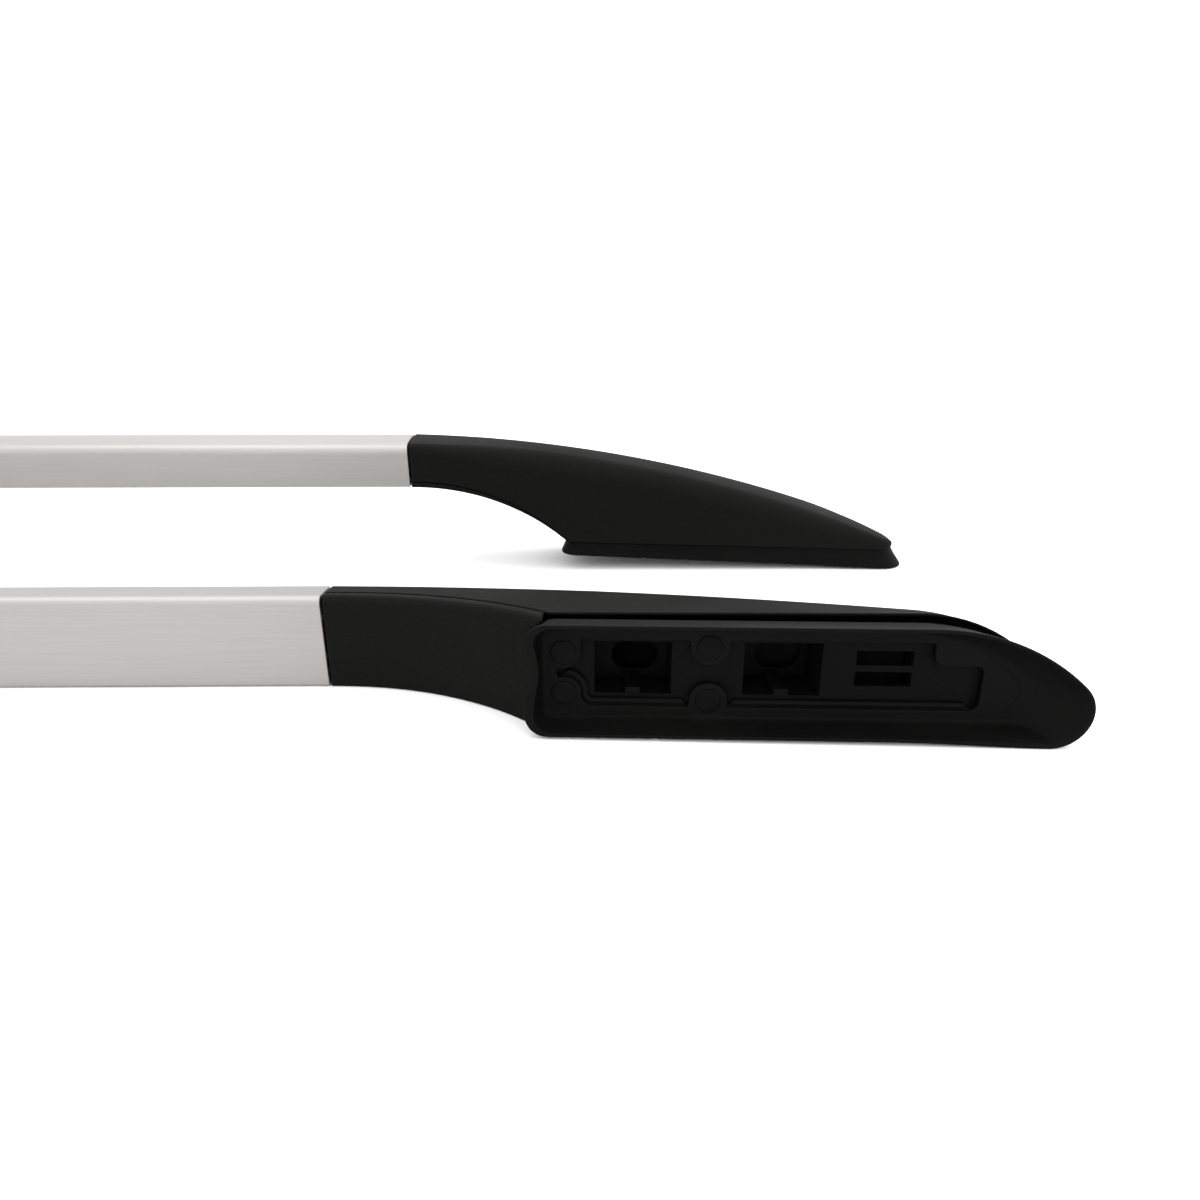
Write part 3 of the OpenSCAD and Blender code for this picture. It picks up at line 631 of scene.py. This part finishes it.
def leaned(rows):
    """Moves the first stations with the leaning seam, fading out over LEAN_RUN."""
    fade = np.clip(1 - rows[..., 0] / LEAN_RUN, 0, 1)
    rows[..., 0] += seam_shift(rows[..., 1], rows[..., 2]) * fade
    return rows


def cover_rows():
    """Outside lines, then the thin edge and the inside lines back: a closed
    section. Where it meets the bar, its stations are drawn in to a round end."""
    out_x, edge_x, in_x = (cover_stations(t, END_GAP) for t in (0, EDGE_T, COVER_WALL))
    outside = cover_lines(0, out_x)
    inside = cover_lines(COVER_WALL, in_x, EDGE_H + LAP_MORE)
    edge = cover_lines(EDGE_T, edge_x)
    rebate = cover_lines(EDGE_T, edge_x, EDGE_H)
    section = [*outside, edge[-1], rebate[-1], *inside[::-1], rebate[0], edge[0]]
    radii = [0.0] * len(section)
    last = len(outside) - 1
    radii[0] = radii[last] = EDGE_ROUND
    radii[last + 1] = radii[-1] = LAP_ROUND
    rows = np.array(soften(section, radii, 3))
    start = rows[:, :1]
    outward = start - MIDDLE
    outward[..., 0] = 0
    outward /= np.linalg.norm(outward, axis=-1, keepdims=True)
    ends = [start - outward * d + [along, 0, 0] for d, along in END_ROUND]
    return leaned(np.concatenate([*ends, rows[:, 1:]], axis=1))


cover_shell = cover_rows()
for rail, nm, end in FEET:
    make_skin(f"{rail}_{nm}_cover_shell", place(rail, end, cover_shell), cover_plastic,
              f"{rail}_{nm}_cover", close_cols=False)

# %% [markdown]
# ## The necks' undersides
# Below the parting line the neck is part of the carrier. The solid's arch is
# made of short flats, so this smooth skin lies a tenth of a millimetre over it.
# It runs a little way into the wall of the gasket's rounded corners, so that no
# light shows between them.

# %% Skin of the neck's underside
SKIN_PROUD, SKIN_T, NECK_LAP = 0.1, 1.2, 1.8
# the straight side's edge radius, and the least height under its parting line
STRAIGHT_R, LEAST_LIP = 1.4, 0.3
# distances from the middle by which walls, edges and floor find their last station
WALL_Y, EDGE_Y, FLOOR_Y = 22.0, 18.5, 18.0


def neck_end(y):
    """The last station at distance y from the middle: the gasket's inner end is
    a straight line between two round corners, and the skin laps into it."""
    bend = max(0.0, y - (GASKET_W / 2 + FIT_GAP - CORNER_R))
    corner = NECK_LEN - FIT_GAP + CORNER_R - math.sqrt(max(0.0, (CORNER_R + FIT_GAP) ** 2 - bend**2))
    return min(corner + NECK_LAP, NECK_END)


def neck_parts():
    """The section's points in order: a share of each wall and of the floor
    between them, and an angle in degrees on each round edge."""
    return [*(("wall_l", f) for f in np.linspace(0, 1, 5, endpoint=False)),
            *(("edge_l", a) for a in np.linspace(180, 270, 12)),
            *(("floor", f) for f in np.linspace(0, 1, 14)[1:-1]),
            *(("edge_r", a) for a in np.linspace(-90, 0, 12)),
            *(("wall_r", f) for f in np.linspace(0, 1, 6)[1:])]


def neck_line(part, amount, t, s):
    """One line of the skin taken in by t, at shares s of its own length. c is
    the place across of the middle of both round edges, z0 the arch's height."""
    turn = math.radians(amount)
    if part == "floor":
        y_end = FLOOR_Y * abs(2 * amount - 1)
    elif part in ("edge_l", "edge_r"):
        y_end = EDGE_Y + (WALL_Y - EDGE_Y) * abs(math.cos(turn))
    else:
        y_end = WALL_Y
    x = END_GAP + s * (neck_end(y_end) - END_GAP)
    z0 = neck_z(x) + t - SKIN_PROUD
    zl = np.maximum(lip_z(x, -BAR_W / 2) - PART_GAP, z0 + LEAST_LIP)
    zr = lip_z(x, BAR_W / 2) - 2 * PART_GAP
    yl, yr = -side_w(zl) - SKIN_PROUD + t, side_w(zr) + SKIN_PROUD - t
    r = np.minimum(STRAIGHT_R, np.maximum(zl - z0, LEAST_LIP)) if part in ("wall_l", "edge_l") else LIP_R
    c = side_w(z0 + r) - r + SKIN_PROUD - t
    if part == "wall_l":
        y, z = yl + amount * (-c - r - yl), zl + amount * (z0 + r - zl)
    elif part == "wall_r":
        y, z = c + r + amount * (yr - c - r), z0 + r + amount * (zr - z0 - r)
    elif part == "floor":
        y, z = -c + amount * 2 * c, z0
    else:
        side = -1 if part == "edge_l" else 1
        y, z = side * c + r * math.cos(turn), z0 + r + r * math.sin(turn)
    return np.stack([x, y, z], -1)


def neck_rows(n=90):
    """A U-shaped section, down the straight side, round both lower edges and up
    the curved side, closed by the same lines taken in."""
    s = np.linspace(0, 1, n)
    outside, inside = ([neck_line(part, amount, t, s) for part, amount in neck_parts()]
                       for t in (0.0, SKIN_T))
    return leaned(np.array([*outside, *inside[::-1]]))


neck_skin = neck_rows()
for rail, nm, end in FEET:
    make_skin(f"{rail}_{nm}_neck_skin", place(rail, end, neck_skin), cover_plastic,
              close_cols=False, caps=True)

# %% [markdown]
# ## The carriers
# The carrier's plate, bolt pockets, slots and ribs are flat-faced and already
# right in the solid. What it lacks is the small radius of a moulded edge. So
# its mesh is copied, the copy's loose triangles are merged, and a Bevel
# modifier rounds every sharp edge by a third of a millimetre. Its edge under
# the parting line is lowered, so that the line reads as a dark joint.

# %% Carriers with softened edges
# the bevel's width in metres, and what counts as a sharp edge and as a flat one
ROUND_WIDTH, ROUND_ANGLE, FLAT_ANGLE = 0.00035, math.radians(40), math.radians(1)
# which points count as the edge under the parting line, and how far they go down
EDGE_REACH, EDGE_SIDE, EDGE_DROP, UNDER_CROWN = 0.35, 14.0, 2 * PART_GAP + 0.1, 0.15


def soft_edged_copy(node_name, rail, end):
    """A merged copy of a solid's mesh with a Bevel modifier on its sharp edges.
    Points near the parting line go down by EDGE_DROP, and no point is higher
    than the inside of the cover's crown, less UNDER_CROWN."""
    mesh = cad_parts[node_name].data.copy()
    points = np.empty(len(mesh.vertices) * 3, np.float32)
    mesh.vertices.foreach_get("co", points)
    foot = to_foot(rail, end, points.reshape(-1, 3))
    x, y, z = foot.T
    near_line = abs(z - lip_z(x, y) + FIT_GAP) < EDGE_REACH
    edge = (x > 0) & (x < NECK_END - 1) & near_line & (abs(y) > EDGE_SIDE)
    foot[:, 2] = np.minimum(z - edge * EDGE_DROP, crown_height(x, y, COVER_WALL + UNDER_CROWN))
    mesh.vertices.foreach_set("co", place(rail, end, foot).astype(np.float32).ravel())
    bm = bmesh.new()
    bm.from_mesh(mesh)
    bmesh.ops.remove_doubles(bm, verts=bm.verts, dist=2 * MERGE_DIST)
    bmesh.ops.dissolve_limit(bm, angle_limit=FLAT_ANGLE, verts=bm.verts, edges=bm.edges)
    bm.to_mesh(mesh)
    bm.free()
    mesh.polygons.foreach_set("use_smooth", np.ones(len(mesh.polygons), bool))
    piece = bpy.data.objects.new(node_name + "_moulding", mesh)
    mesh.name = piece.name
    bevel = piece.modifiers.new("moulded_edges", "BEVEL")
    bevel.width = ROUND_WIDTH
    bevel.segments = 2
    bevel.limit_method = "ANGLE"
    bevel.angle_limit = ROUND_ANGLE
    bevel.harden_normals = True
    return piece


for rail, nm, end in FEET:
    name = f"{rail}_{nm}_carrier"
    finish_piece(soft_edged_copy(name, rail, end), carrier_plastic, name)

# %% [markdown]
# ## Loops on the roof plane
# The gasket is built from rings that all run round the foot: its rim, its
# waist, its shoulder and the edge of the window in its floor. For the rings to
# join without twisting, each is cut at the same twelve places, and each stretch
# gets the same number of points on every ring.

# %% Loops and how they are matched
# the drawn-in inner end: its middle, half width and depth along the foot
HOLLOW_Y, HOLLOW_HALF, HOLLOW_DEPTH = 4.0, 10.0, 20.0


def dense(loop, n=6000):
    """The closed loop with n points evenly along it."""
    closed = np.vstack([loop, loop[:1]])
    run = np.concatenate([[0], np.cumsum(np.linalg.norm(np.diff(closed, axis=0), axis=1))])
    at = np.linspace(0, run[-1], n, endpoint=False)
    return np.stack([np.interp(at, run, closed[:, k]) for k in (0, 1)], -1)


def plan_loop(d, tip=0.0, start=0.0, flare=0.0, hollow=0.0):
    """The gasket's plan taken in by d: tip arc, curved side, two round corners
    at the inner end and the straight side, which may flare out beside the tip.
    The inner end is drawn in by `hollow` in its middle, as a bell curve."""
    x0, xt, w = NECK_LEN + d + start, NECK_LEN + FOOT_LEN - d - tip, GASKET_W / 2 - d
    rc, rt, rs = GASKET_CURVE_R - d, GASKET_TIP_R - d, CORNER_R - d
    c = curve_start(xt, w, rc, rt, flare)
    a = math.atan2(rc + rt - 2 * w - flare, xt - rt - c)
    parts = [arc(xt - rt, rt - w - flare, rt, -np.pi / 2, a), arc(c, w - rc, rc, a, np.pi / 2),
             arc(x0 + rs, w - rs, rs, np.pi / 2, np.pi), arc(x0 + rs, rs - w, rs, np.pi, 1.5 * np.pi)]
    if flare > 0:
        # the flare grows from five tip radii before the end to one
        f = np.linspace(0, 1, 40)[1:-1, None]
        parts.append(np.hstack([xt - 5 * rt + f * 4 * rt, -w - flare * ease(f)]))
    loop = dense(np.concatenate(parts))
    bell = np.exp(-(((loop[:, 1] - HOLLOW_Y) / HOLLOW_HALF) ** 2))
    loop[:, 0] += hollow * bell * (loop[:, 0] < x0 + HOLLOW_DEPTH)
    return loop


def corner_loop(corners):
    """A closed outline of straight runs with rounded corners (x, y, radius)."""
    c = np.array(corners)
    points, n = [], len(c)
    for k in range(n):
        b, r = c[k, :2], c[k, 2]
        u = (c[k - 1, :2] - b) / np.linalg.norm(c[k - 1, :2] - b)
        v = (c[(k + 1) % n, :2] - b) / np.linalg.norm(c[(k + 1) % n, :2] - b)
        half = math.acos(np.clip(u @ v, -1, 1)) / 2
        reach = r / math.tan(half)
        centre = b + (u + v) / np.linalg.norm(u + v) * r / math.sin(half)
        p, q = b + u * reach - centre, b + v * reach - centre
        a0, a1 = math.atan2(p[1], p[0]), math.atan2(q[1], q[0])
        turn = (a1 - a0 + np.pi) % (2 * np.pi) - np.pi
        points.append(arc(centre[0], centre[1], r, a0, a0 + turn, 40))
    return dense(np.concatenate(points))


# %% The window, and where the loops are cut
SIDE_Y, WINDOW_END, SMALL_R = 13.5, 254.1, 1.2
NARROW_X, NARROW_Y = 235.6, 4.5
TAB_X0, TAB_X1, TAB_Y, TAB_R = 146.3, 160.7, 3.6, 7.1
INNER_X0, INNER_X1, INNER_Y, INNER_R = 96.3, 105.4, 1.8, 6.2

# (x, y, corner radius): from the tip along the curved side to the inner end, and
# back along the straight side, past the tabs that cover the plate at the studs
WINDOW = [
    (WINDOW_END, -SIDE_Y, 3.5), (WINDOW_END, NARROW_Y, 2.5), (NARROW_X, NARROW_Y, 4.4),
    (NARROW_X, SIDE_Y, SMALL_R), (TAB_X1, SIDE_Y, SMALL_R), (TAB_X1, TAB_Y, TAB_R),
    (TAB_X0, TAB_Y, TAB_R), (TAB_X0, SIDE_Y, SMALL_R), (INNER_X1, SIDE_Y, SMALL_R),
    (INNER_X1, INNER_Y, INNER_R), (INNER_X0, INNER_Y, SMALL_R), (INNER_X0, -INNER_Y, SMALL_R),
    (INNER_X1, -INNER_Y, INNER_R), (INNER_X1, -SIDE_Y, 4.4), (TAB_X0, -SIDE_Y, SMALL_R),
    (TAB_X0, -TAB_Y, TAB_R), (TAB_X1, -TAB_Y, TAB_R), (TAB_X1, -SIDE_Y, SMALL_R)]

# the cuts on the window and on the rings outside it, and the points per stretch
WINDOW_CUTS = [
    (WINDOW_END, -SIDE_Y), (WINDOW_END, NARROW_Y), (NARROW_X, NARROW_Y), (NARROW_X, SIDE_Y),
    (TAB_X1, SIDE_Y), (TAB_X0, SIDE_Y), (INNER_X1, SIDE_Y), (INNER_X0, INNER_Y),
    (INNER_X0, -INNER_Y), (INNER_X1, -SIDE_Y), (TAB_X0, -SIDE_Y), (TAB_X1, -SIDE_Y)]
RING_CUTS = [
    (251, -30), (262, 22), (250, 30), (238, 40), (161, 40), (146, 40),
    (108, 40), (80, 2), (80, -2), (108, -40), (146, -40), (161, -40)]
COUNTS = [120, 20, 20, 80, 34, 50, 44, 8, 44, 50, 34, 90]


def matched(loop, cuts):
    """The loop resampled stretch by stretch between the points nearest to the cuts."""
    index = np.array([np.argmin(np.linalg.norm(loop - c, axis=1)) for c in cuts])
    index = np.where(index < index[0], index + len(loop), index)
    index = np.append(index, index[0] + len(loop))
    at = np.concatenate([a + (b - a) * np.arange(n) / n for a, b, n in zip(index, index[1:], COUNTS)])
    twice = np.concatenate([loop, loop, loop[:1]])
    return np.stack([np.interp(at, np.arange(len(twice)), twice[:, m]) for m in (0, 1)], -1)


def pulled_in(loop, d):
    """The loop's points moved by d, which may vary, to the inside of the loop:
    square to the line from each point's neighbour to its other neighbour."""
    along = np.roll(loop, -1, 0) - np.roll(loop, 1, 0)
    inward = np.stack([-along[:, 1], along[:, 0]], -1) / np.linalg.norm(along, axis=1)[:, None]
    turn = np.sum(loop[:, 0] * np.roll(loop[:, 1], -1) - loop[:, 1] * np.roll(loop[:, 0], -1))
    return loop + inward * np.sign(turn) * np.reshape(d, (-1, 1))


def on_roof(xy, z):
    """Roof-plane points at height z, turned by the roof's pitch about the inner end."""
    u = xy[:, 0] - NECK_LEN
    c, s = math.cos(PITCH), math.sin(PITCH)
    z = z + 0 * u
    return np.stack([NECK_LEN + u * c + z * s, xy[:, 1], -FOOT_DROP - u * s + z * c], -1)


def seam_above_roof(xy):
    """Height of the gasket's upper edge over the roof plane."""
    u = xy[:, 0] - NECK_LEN
    c, s, t = math.cos(PITCH), math.sin(PITCH), math.tan(SEAM_PITCH)
    return (GASKET_H - SEAM_GAP + u * (s - c * t) + xy[:, 1] * math.tan(SEAM_ROLL)) / (c + s * t)


print("points on each ring", sum(COUNTS))

# %% [markdown]
# ## The gaskets
# The gasket is one rubber moulding: a lip that flares out to the roof, a waist,
# a shoulder on which the cover's edge would rest, a low edge that stands up
# inside the cover, and a floor with a long window. The window follows the
# carrier's plate, with round tabs over the studs. Because every ring runs round
# the foot, the whole moulding is one list of rings that ends where it began.

# %% Rings of the gasket
# heights over the roof plane: the floor's two sides and the step for the cover's edge
UNDER, OVER = PLATE_DEPTH - FLOOR_T, PLATE_DEPTH - FIT_GAP
STEP_H, STEP_DOWN = 11.4, 0.3
# the bead: where it begins and ends, the room round the tab, and its section as
# (pulled in by, down by, down by more, corner radius)
BEAD_Y, BEAD_RISE, BEAD_X0, BEAD_X1, BEAD_FADE = 1.0, 0.8, 97.5, 252.0, 3.0
TAB_ROOM, TAB_FADE = 8.0, 1.5
BEAD = [(2.8, 0.0, 0.0, 0.25), (2.8, 0.6, 0.5, 0.9), (1.5, 1.2, 0.7, 0.9), (0.3, 1.6, -0.6, 0.25)]
# the nick at the lip's joint, and the part of the lip that it is in
NICK_WIDTH, NICK_UP, NICK_OUT = 0.7, 0.5, 0.3
LIP_SIDE, LIP_H, LIP_T = 17.0, 8.0, 1.2


def bead_size(window):
    """The rolled bead lies in the window along its lower edge, and stops round
    the tab and at both ends: a product of four smooth steps."""
    x, y = window[:, 0], window[:, 1]
    past_tab = abs(x - (TAB_X0 + TAB_X1) / 2) - TAB_ROOM
    size = ease((-y - BEAD_Y) / BEAD_RISE) * ease((BEAD_X1 - x) / BEAD_FADE)
    return size * ease(past_tab / TAB_FADE) * ease((x - BEAD_X0) / BEAD_FADE)


def gasket_rows():
    """Rings (loop, height over the roof plane, corner radius), from the rim up
    the outside, over the raised edge, down to the floor's top, through the
    window, out along the underside and down the inside of the lip."""
    def ring(d, **changes):
        """The gasket's plan taken in by d and changed, cut to match the others."""
        return matched(plan_loop(d, **changes), RING_CUTS)

    rim = ring(0, start=-2.1, flare=1.5, hollow=2.6)
    waist = ring(1, tip=4, start=-0.3, hollow=1.2)
    shoulder = ring(1.3, tip=6, start=0.5)
    edge = ring(3.4, tip=5, start=0.5)
    back = ring(5.2, tip=5, start=0.5)
    inner = ring(4.3, tip=11)
    lip = ring(2.5, tip=4)
    lip_end = ring(1.3, flare=0.8, hollow=2.5)
    window = matched(corner_loop(WINDOW), WINDOW_CUTS)
    bead = bead_size(window)
    top = seam_above_roof(edge)
    rings = [
        (rim, 0.0, 0.45), (rim, 1.0, 0.8), (waist, 7.5, 2.5),
        (shoulder, np.minimum(STEP_H, seam_above_roof(shoulder)), 0.5),
        (edge, np.minimum(STEP_H, top - STEP_DOWN), 0.4), (edge, top, 0.4),
        (back, seam_above_roof(back), 0.4), (back, OVER, 0.4), (window * 0.7 + back * 0.3, OVER, 0.0),
        *((pulled_in(window, pull * bead), OVER - down - more * bead, r) for pull, down, more, r in BEAD),
        (window, UNDER, 0.5),
        (window * 0.75 + inner * 0.25, UNDER, 0.0), (window * 0.4 + inner * 0.6, UNDER, 0.0),
        (inner, UNDER, 6.0), (lip, 4.5, 3.0), (lip_end, 0.0, 0.35)]
    lines = [on_roof(loop, z) for loop, z, r in rings]
    rows = np.array(soften(lines, [r for *_, r in rings], 5))
    # the joint of the lip: a narrow nick right through its straight side
    x, y, z = rows[..., 0], rows[..., 1], rows[..., 2]
    nick = np.exp(-(((x - JOINT_X) / NICK_WIDTH) ** 2)) * (y < -LIP_SIDE) * (z < LIP_H - FOOT_DROP)
    rows[..., 2] += NICK_UP * nick
    rows[..., 1] -= NICK_OUT * nick * (abs(y) < GASKET_W / 2 - LIP_T)
    return rows


gasket_rings = gasket_rows()
for rail, nm, end in FEET:
    make_skin(f"{rail}_{nm}_gasket_moulding", place(rail, end, gasket_rings), rubber,
              f"{rail}_{nm}_gasket")

# %% Line in the floor near the tip
FLOOR_LINE = [(248.0, 14.0), (256.1, 7.8), (263.4, 2.7), (268.6, -2.4),
              (268.7, -7.3), (263.9, -13.2), (262.5, -14.5)]
LINE_SINK, LINE_FLAT, LINE_END = 0.05, 0.7, 0.02


def floor_line_rows(n=90, r=0.4, rounds=60, n_ring=10):
    """A thin ridge, half sunk in the floor's underside: the middle line is
    smoothed by averaging it with itself, and flattened rings are set square to
    it, thinner at its ends."""
    path = np.array(FLOOR_LINE)
    run = np.concatenate([[0], np.cumsum(np.linalg.norm(np.diff(path, axis=0), axis=1))])
    at = np.linspace(0, run[-1], n)
    line = np.stack([np.interp(at, run, path[:, k]) for k in (0, 1)], -1)
    for _ in range(rounds):
        line[1:-1] = (line[:-2] + 2 * line[1:-1] + line[2:]) / 4
    along = np.gradient(line, axis=0)
    side = np.stack([-along[:, 1], along[:, 0]], -1) / np.linalg.norm(along, axis=1)[:, None]
    thinning = np.sin(np.linspace(LINE_END, np.pi - LINE_END, n)) * 3
    size = r * np.minimum(1, thinning)[:, None]
    a = np.linspace(0, 2 * np.pi, n_ring, endpoint=False)
    across, up = size * np.cos(a), size * np.sin(a) * LINE_FLAT
    flat = (line[:, None] + side[:, None] * across[..., None]).reshape(-1, 2)
    return on_roof(flat, UNDER + LINE_SINK - up.ravel()).reshape(n, n_ring, 3)


ridge = floor_line_rows()
for rail, nm, end in FEET:
    make_skin(f"{rail}_{nm}_floor_line", place(rail, end, ridge), rubber,
              close_rows=False)

# %% [markdown]
# ## The studs
# Four round pins hold the gasket's floor to the plate. Each has a plain flat
# head, a little rounded at its edge. The profile is turned round its axis.

# %% Studs as turned profiles
STUDS = [(99.0, 8.2), (99.0, -8.2), (153.5, 10.8), (153.5, -10.8)]
STUD_PROFILE = np.array([  # radius and height over the floor's underside
    (0.02, -0.5), (2.4, -0.52), (4.2, -0.5), (4.6, -0.42), (4.85, -0.2), (4.9, 0.0),
    (2.0, 0.02), (2.0, 5.0), (0.02, 5.1)])


def stud_points(x, y, n=48):
    """The profile carried round the axis in n steps, on the roof plane at x, y."""
    a = np.linspace(0, 2 * np.pi, n, endpoint=False)
    r, height = STUD_PROFILE[:, :1], STUD_PROFILE[:, 1:]
    flat = np.stack([r * np.cos(a), r * np.sin(a)], -1).reshape(-1, 2)
    return on_roof(flat + [x, y], (height + 0 * a).ravel() + UNDER).reshape(len(r), n, 3)


for rail, nm, end in FEET:
    for k, at in enumerate(STUDS):
        make_skin(f"{rail}_{nm}_stud_{k}", place(rail, end, stud_points(*at)), pin_plastic,
                  f"{rail}_{nm}_studs", close_rows=False)

# %% [markdown]
# ## Floor and light
# The photograph is a cut-out on plain white with only soft shadows under the
# rails. A large pale floor and a pale, nearly even sky give that. A wide soft
# lamp overhead adds the gleam on the rounded edges, and a weaker one behind
# lights the tops, which the camera sees at a grazing angle.

# %% Pale floor
FLOOR_HALF, FLOOR_Z = 30, -0.00003  # metres

floor_mesh = bpy.data.meshes.new("floor")
corners = [(x * FLOOR_HALF, y * FLOOR_HALF, FLOOR_Z) for x, y in ((-1, -1), (1, -1), (1, 1), (-1, 1))]
floor_mesh.from_pydata(corners, [], [(0, 1, 2, 3)])
floor = bpy.data.objects.new("floor", floor_mesh)
bpy.context.scene.collection.objects.link(floor)
paper, tree, shader = new_material("white_paper", Specular_IOR_Level=0.0, Roughness=0.9)
vary(tree, noise_at(tree, 40, 2), 0.86, 0.88, shader.inputs["Base Color"])
floor_mesh.materials.append(paper)

# %% Sky and lamps
# the sky's strength is SKY_LEVEL plus SKY_BACK times Y plus SKY_UP times Z
SKY_LEVEL, SKY_BACK, SKY_UP = 1.44, -0.1, 0.66
LAMP_SIZE = (1.6, 0.8)  # metres
LAMPS = [  # watts, place in metres, tilt in degrees
    ("top_softbox", 7.2, (0.6, 0.1, 1.5), -4), ("back_softbox", 2.6, (0.7, 1.25, 1.15), -47)]

world = bpy.data.worlds.new("studio")
bpy.context.scene.world = world
world.use_nodes = True
tree = world.node_tree
sky = tree.nodes["Background"]
sky.inputs["Color"].default_value = (1, 1, 1, 1)
direction = tree.nodes.new("ShaderNodeTexCoord")
split = tree.nodes.new("ShaderNodeSeparateXYZ")
tree.links.new(direction.outputs["Generated"], split.inputs["Vector"])
total = add_node(tree, "ShaderNodeMath", operation="MULTIPLY_ADD")
total.inputs[1].default_value, total.inputs[2].default_value = SKY_BACK, SKY_LEVEL
tree.links.new(split.outputs["Y"], total.inputs[0])
height = add_node(tree, "ShaderNodeMath", operation="MULTIPLY_ADD")
height.inputs[1].default_value = SKY_UP
tree.links.new(split.outputs["Z"], height.inputs[0])
tree.links.new(total.outputs["Value"], height.inputs[2])
tree.links.new(height.outputs["Value"], sky.inputs["Strength"])

for name, watts, location, tilt in LAMPS:
    softbox = bpy.data.lights.new(name, "AREA")
    softbox.shape = "RECTANGLE"
    softbox.size, softbox.size_y = LAMP_SIZE
    softbox.energy = watts
    lamp = bpy.data.objects.new(name, softbox)
    lamp.location = location
    lamp.rotation_euler = (math.radians(tilt), 0.0, 0.0)
    bpy.context.scene.collection.objects.link(lamp)
bpy.context.scene.view_settings.view_transform = "Standard"
print("sky strength at the horizon", SKY_LEVEL, "lamps", [light.name for light in bpy.data.lights])
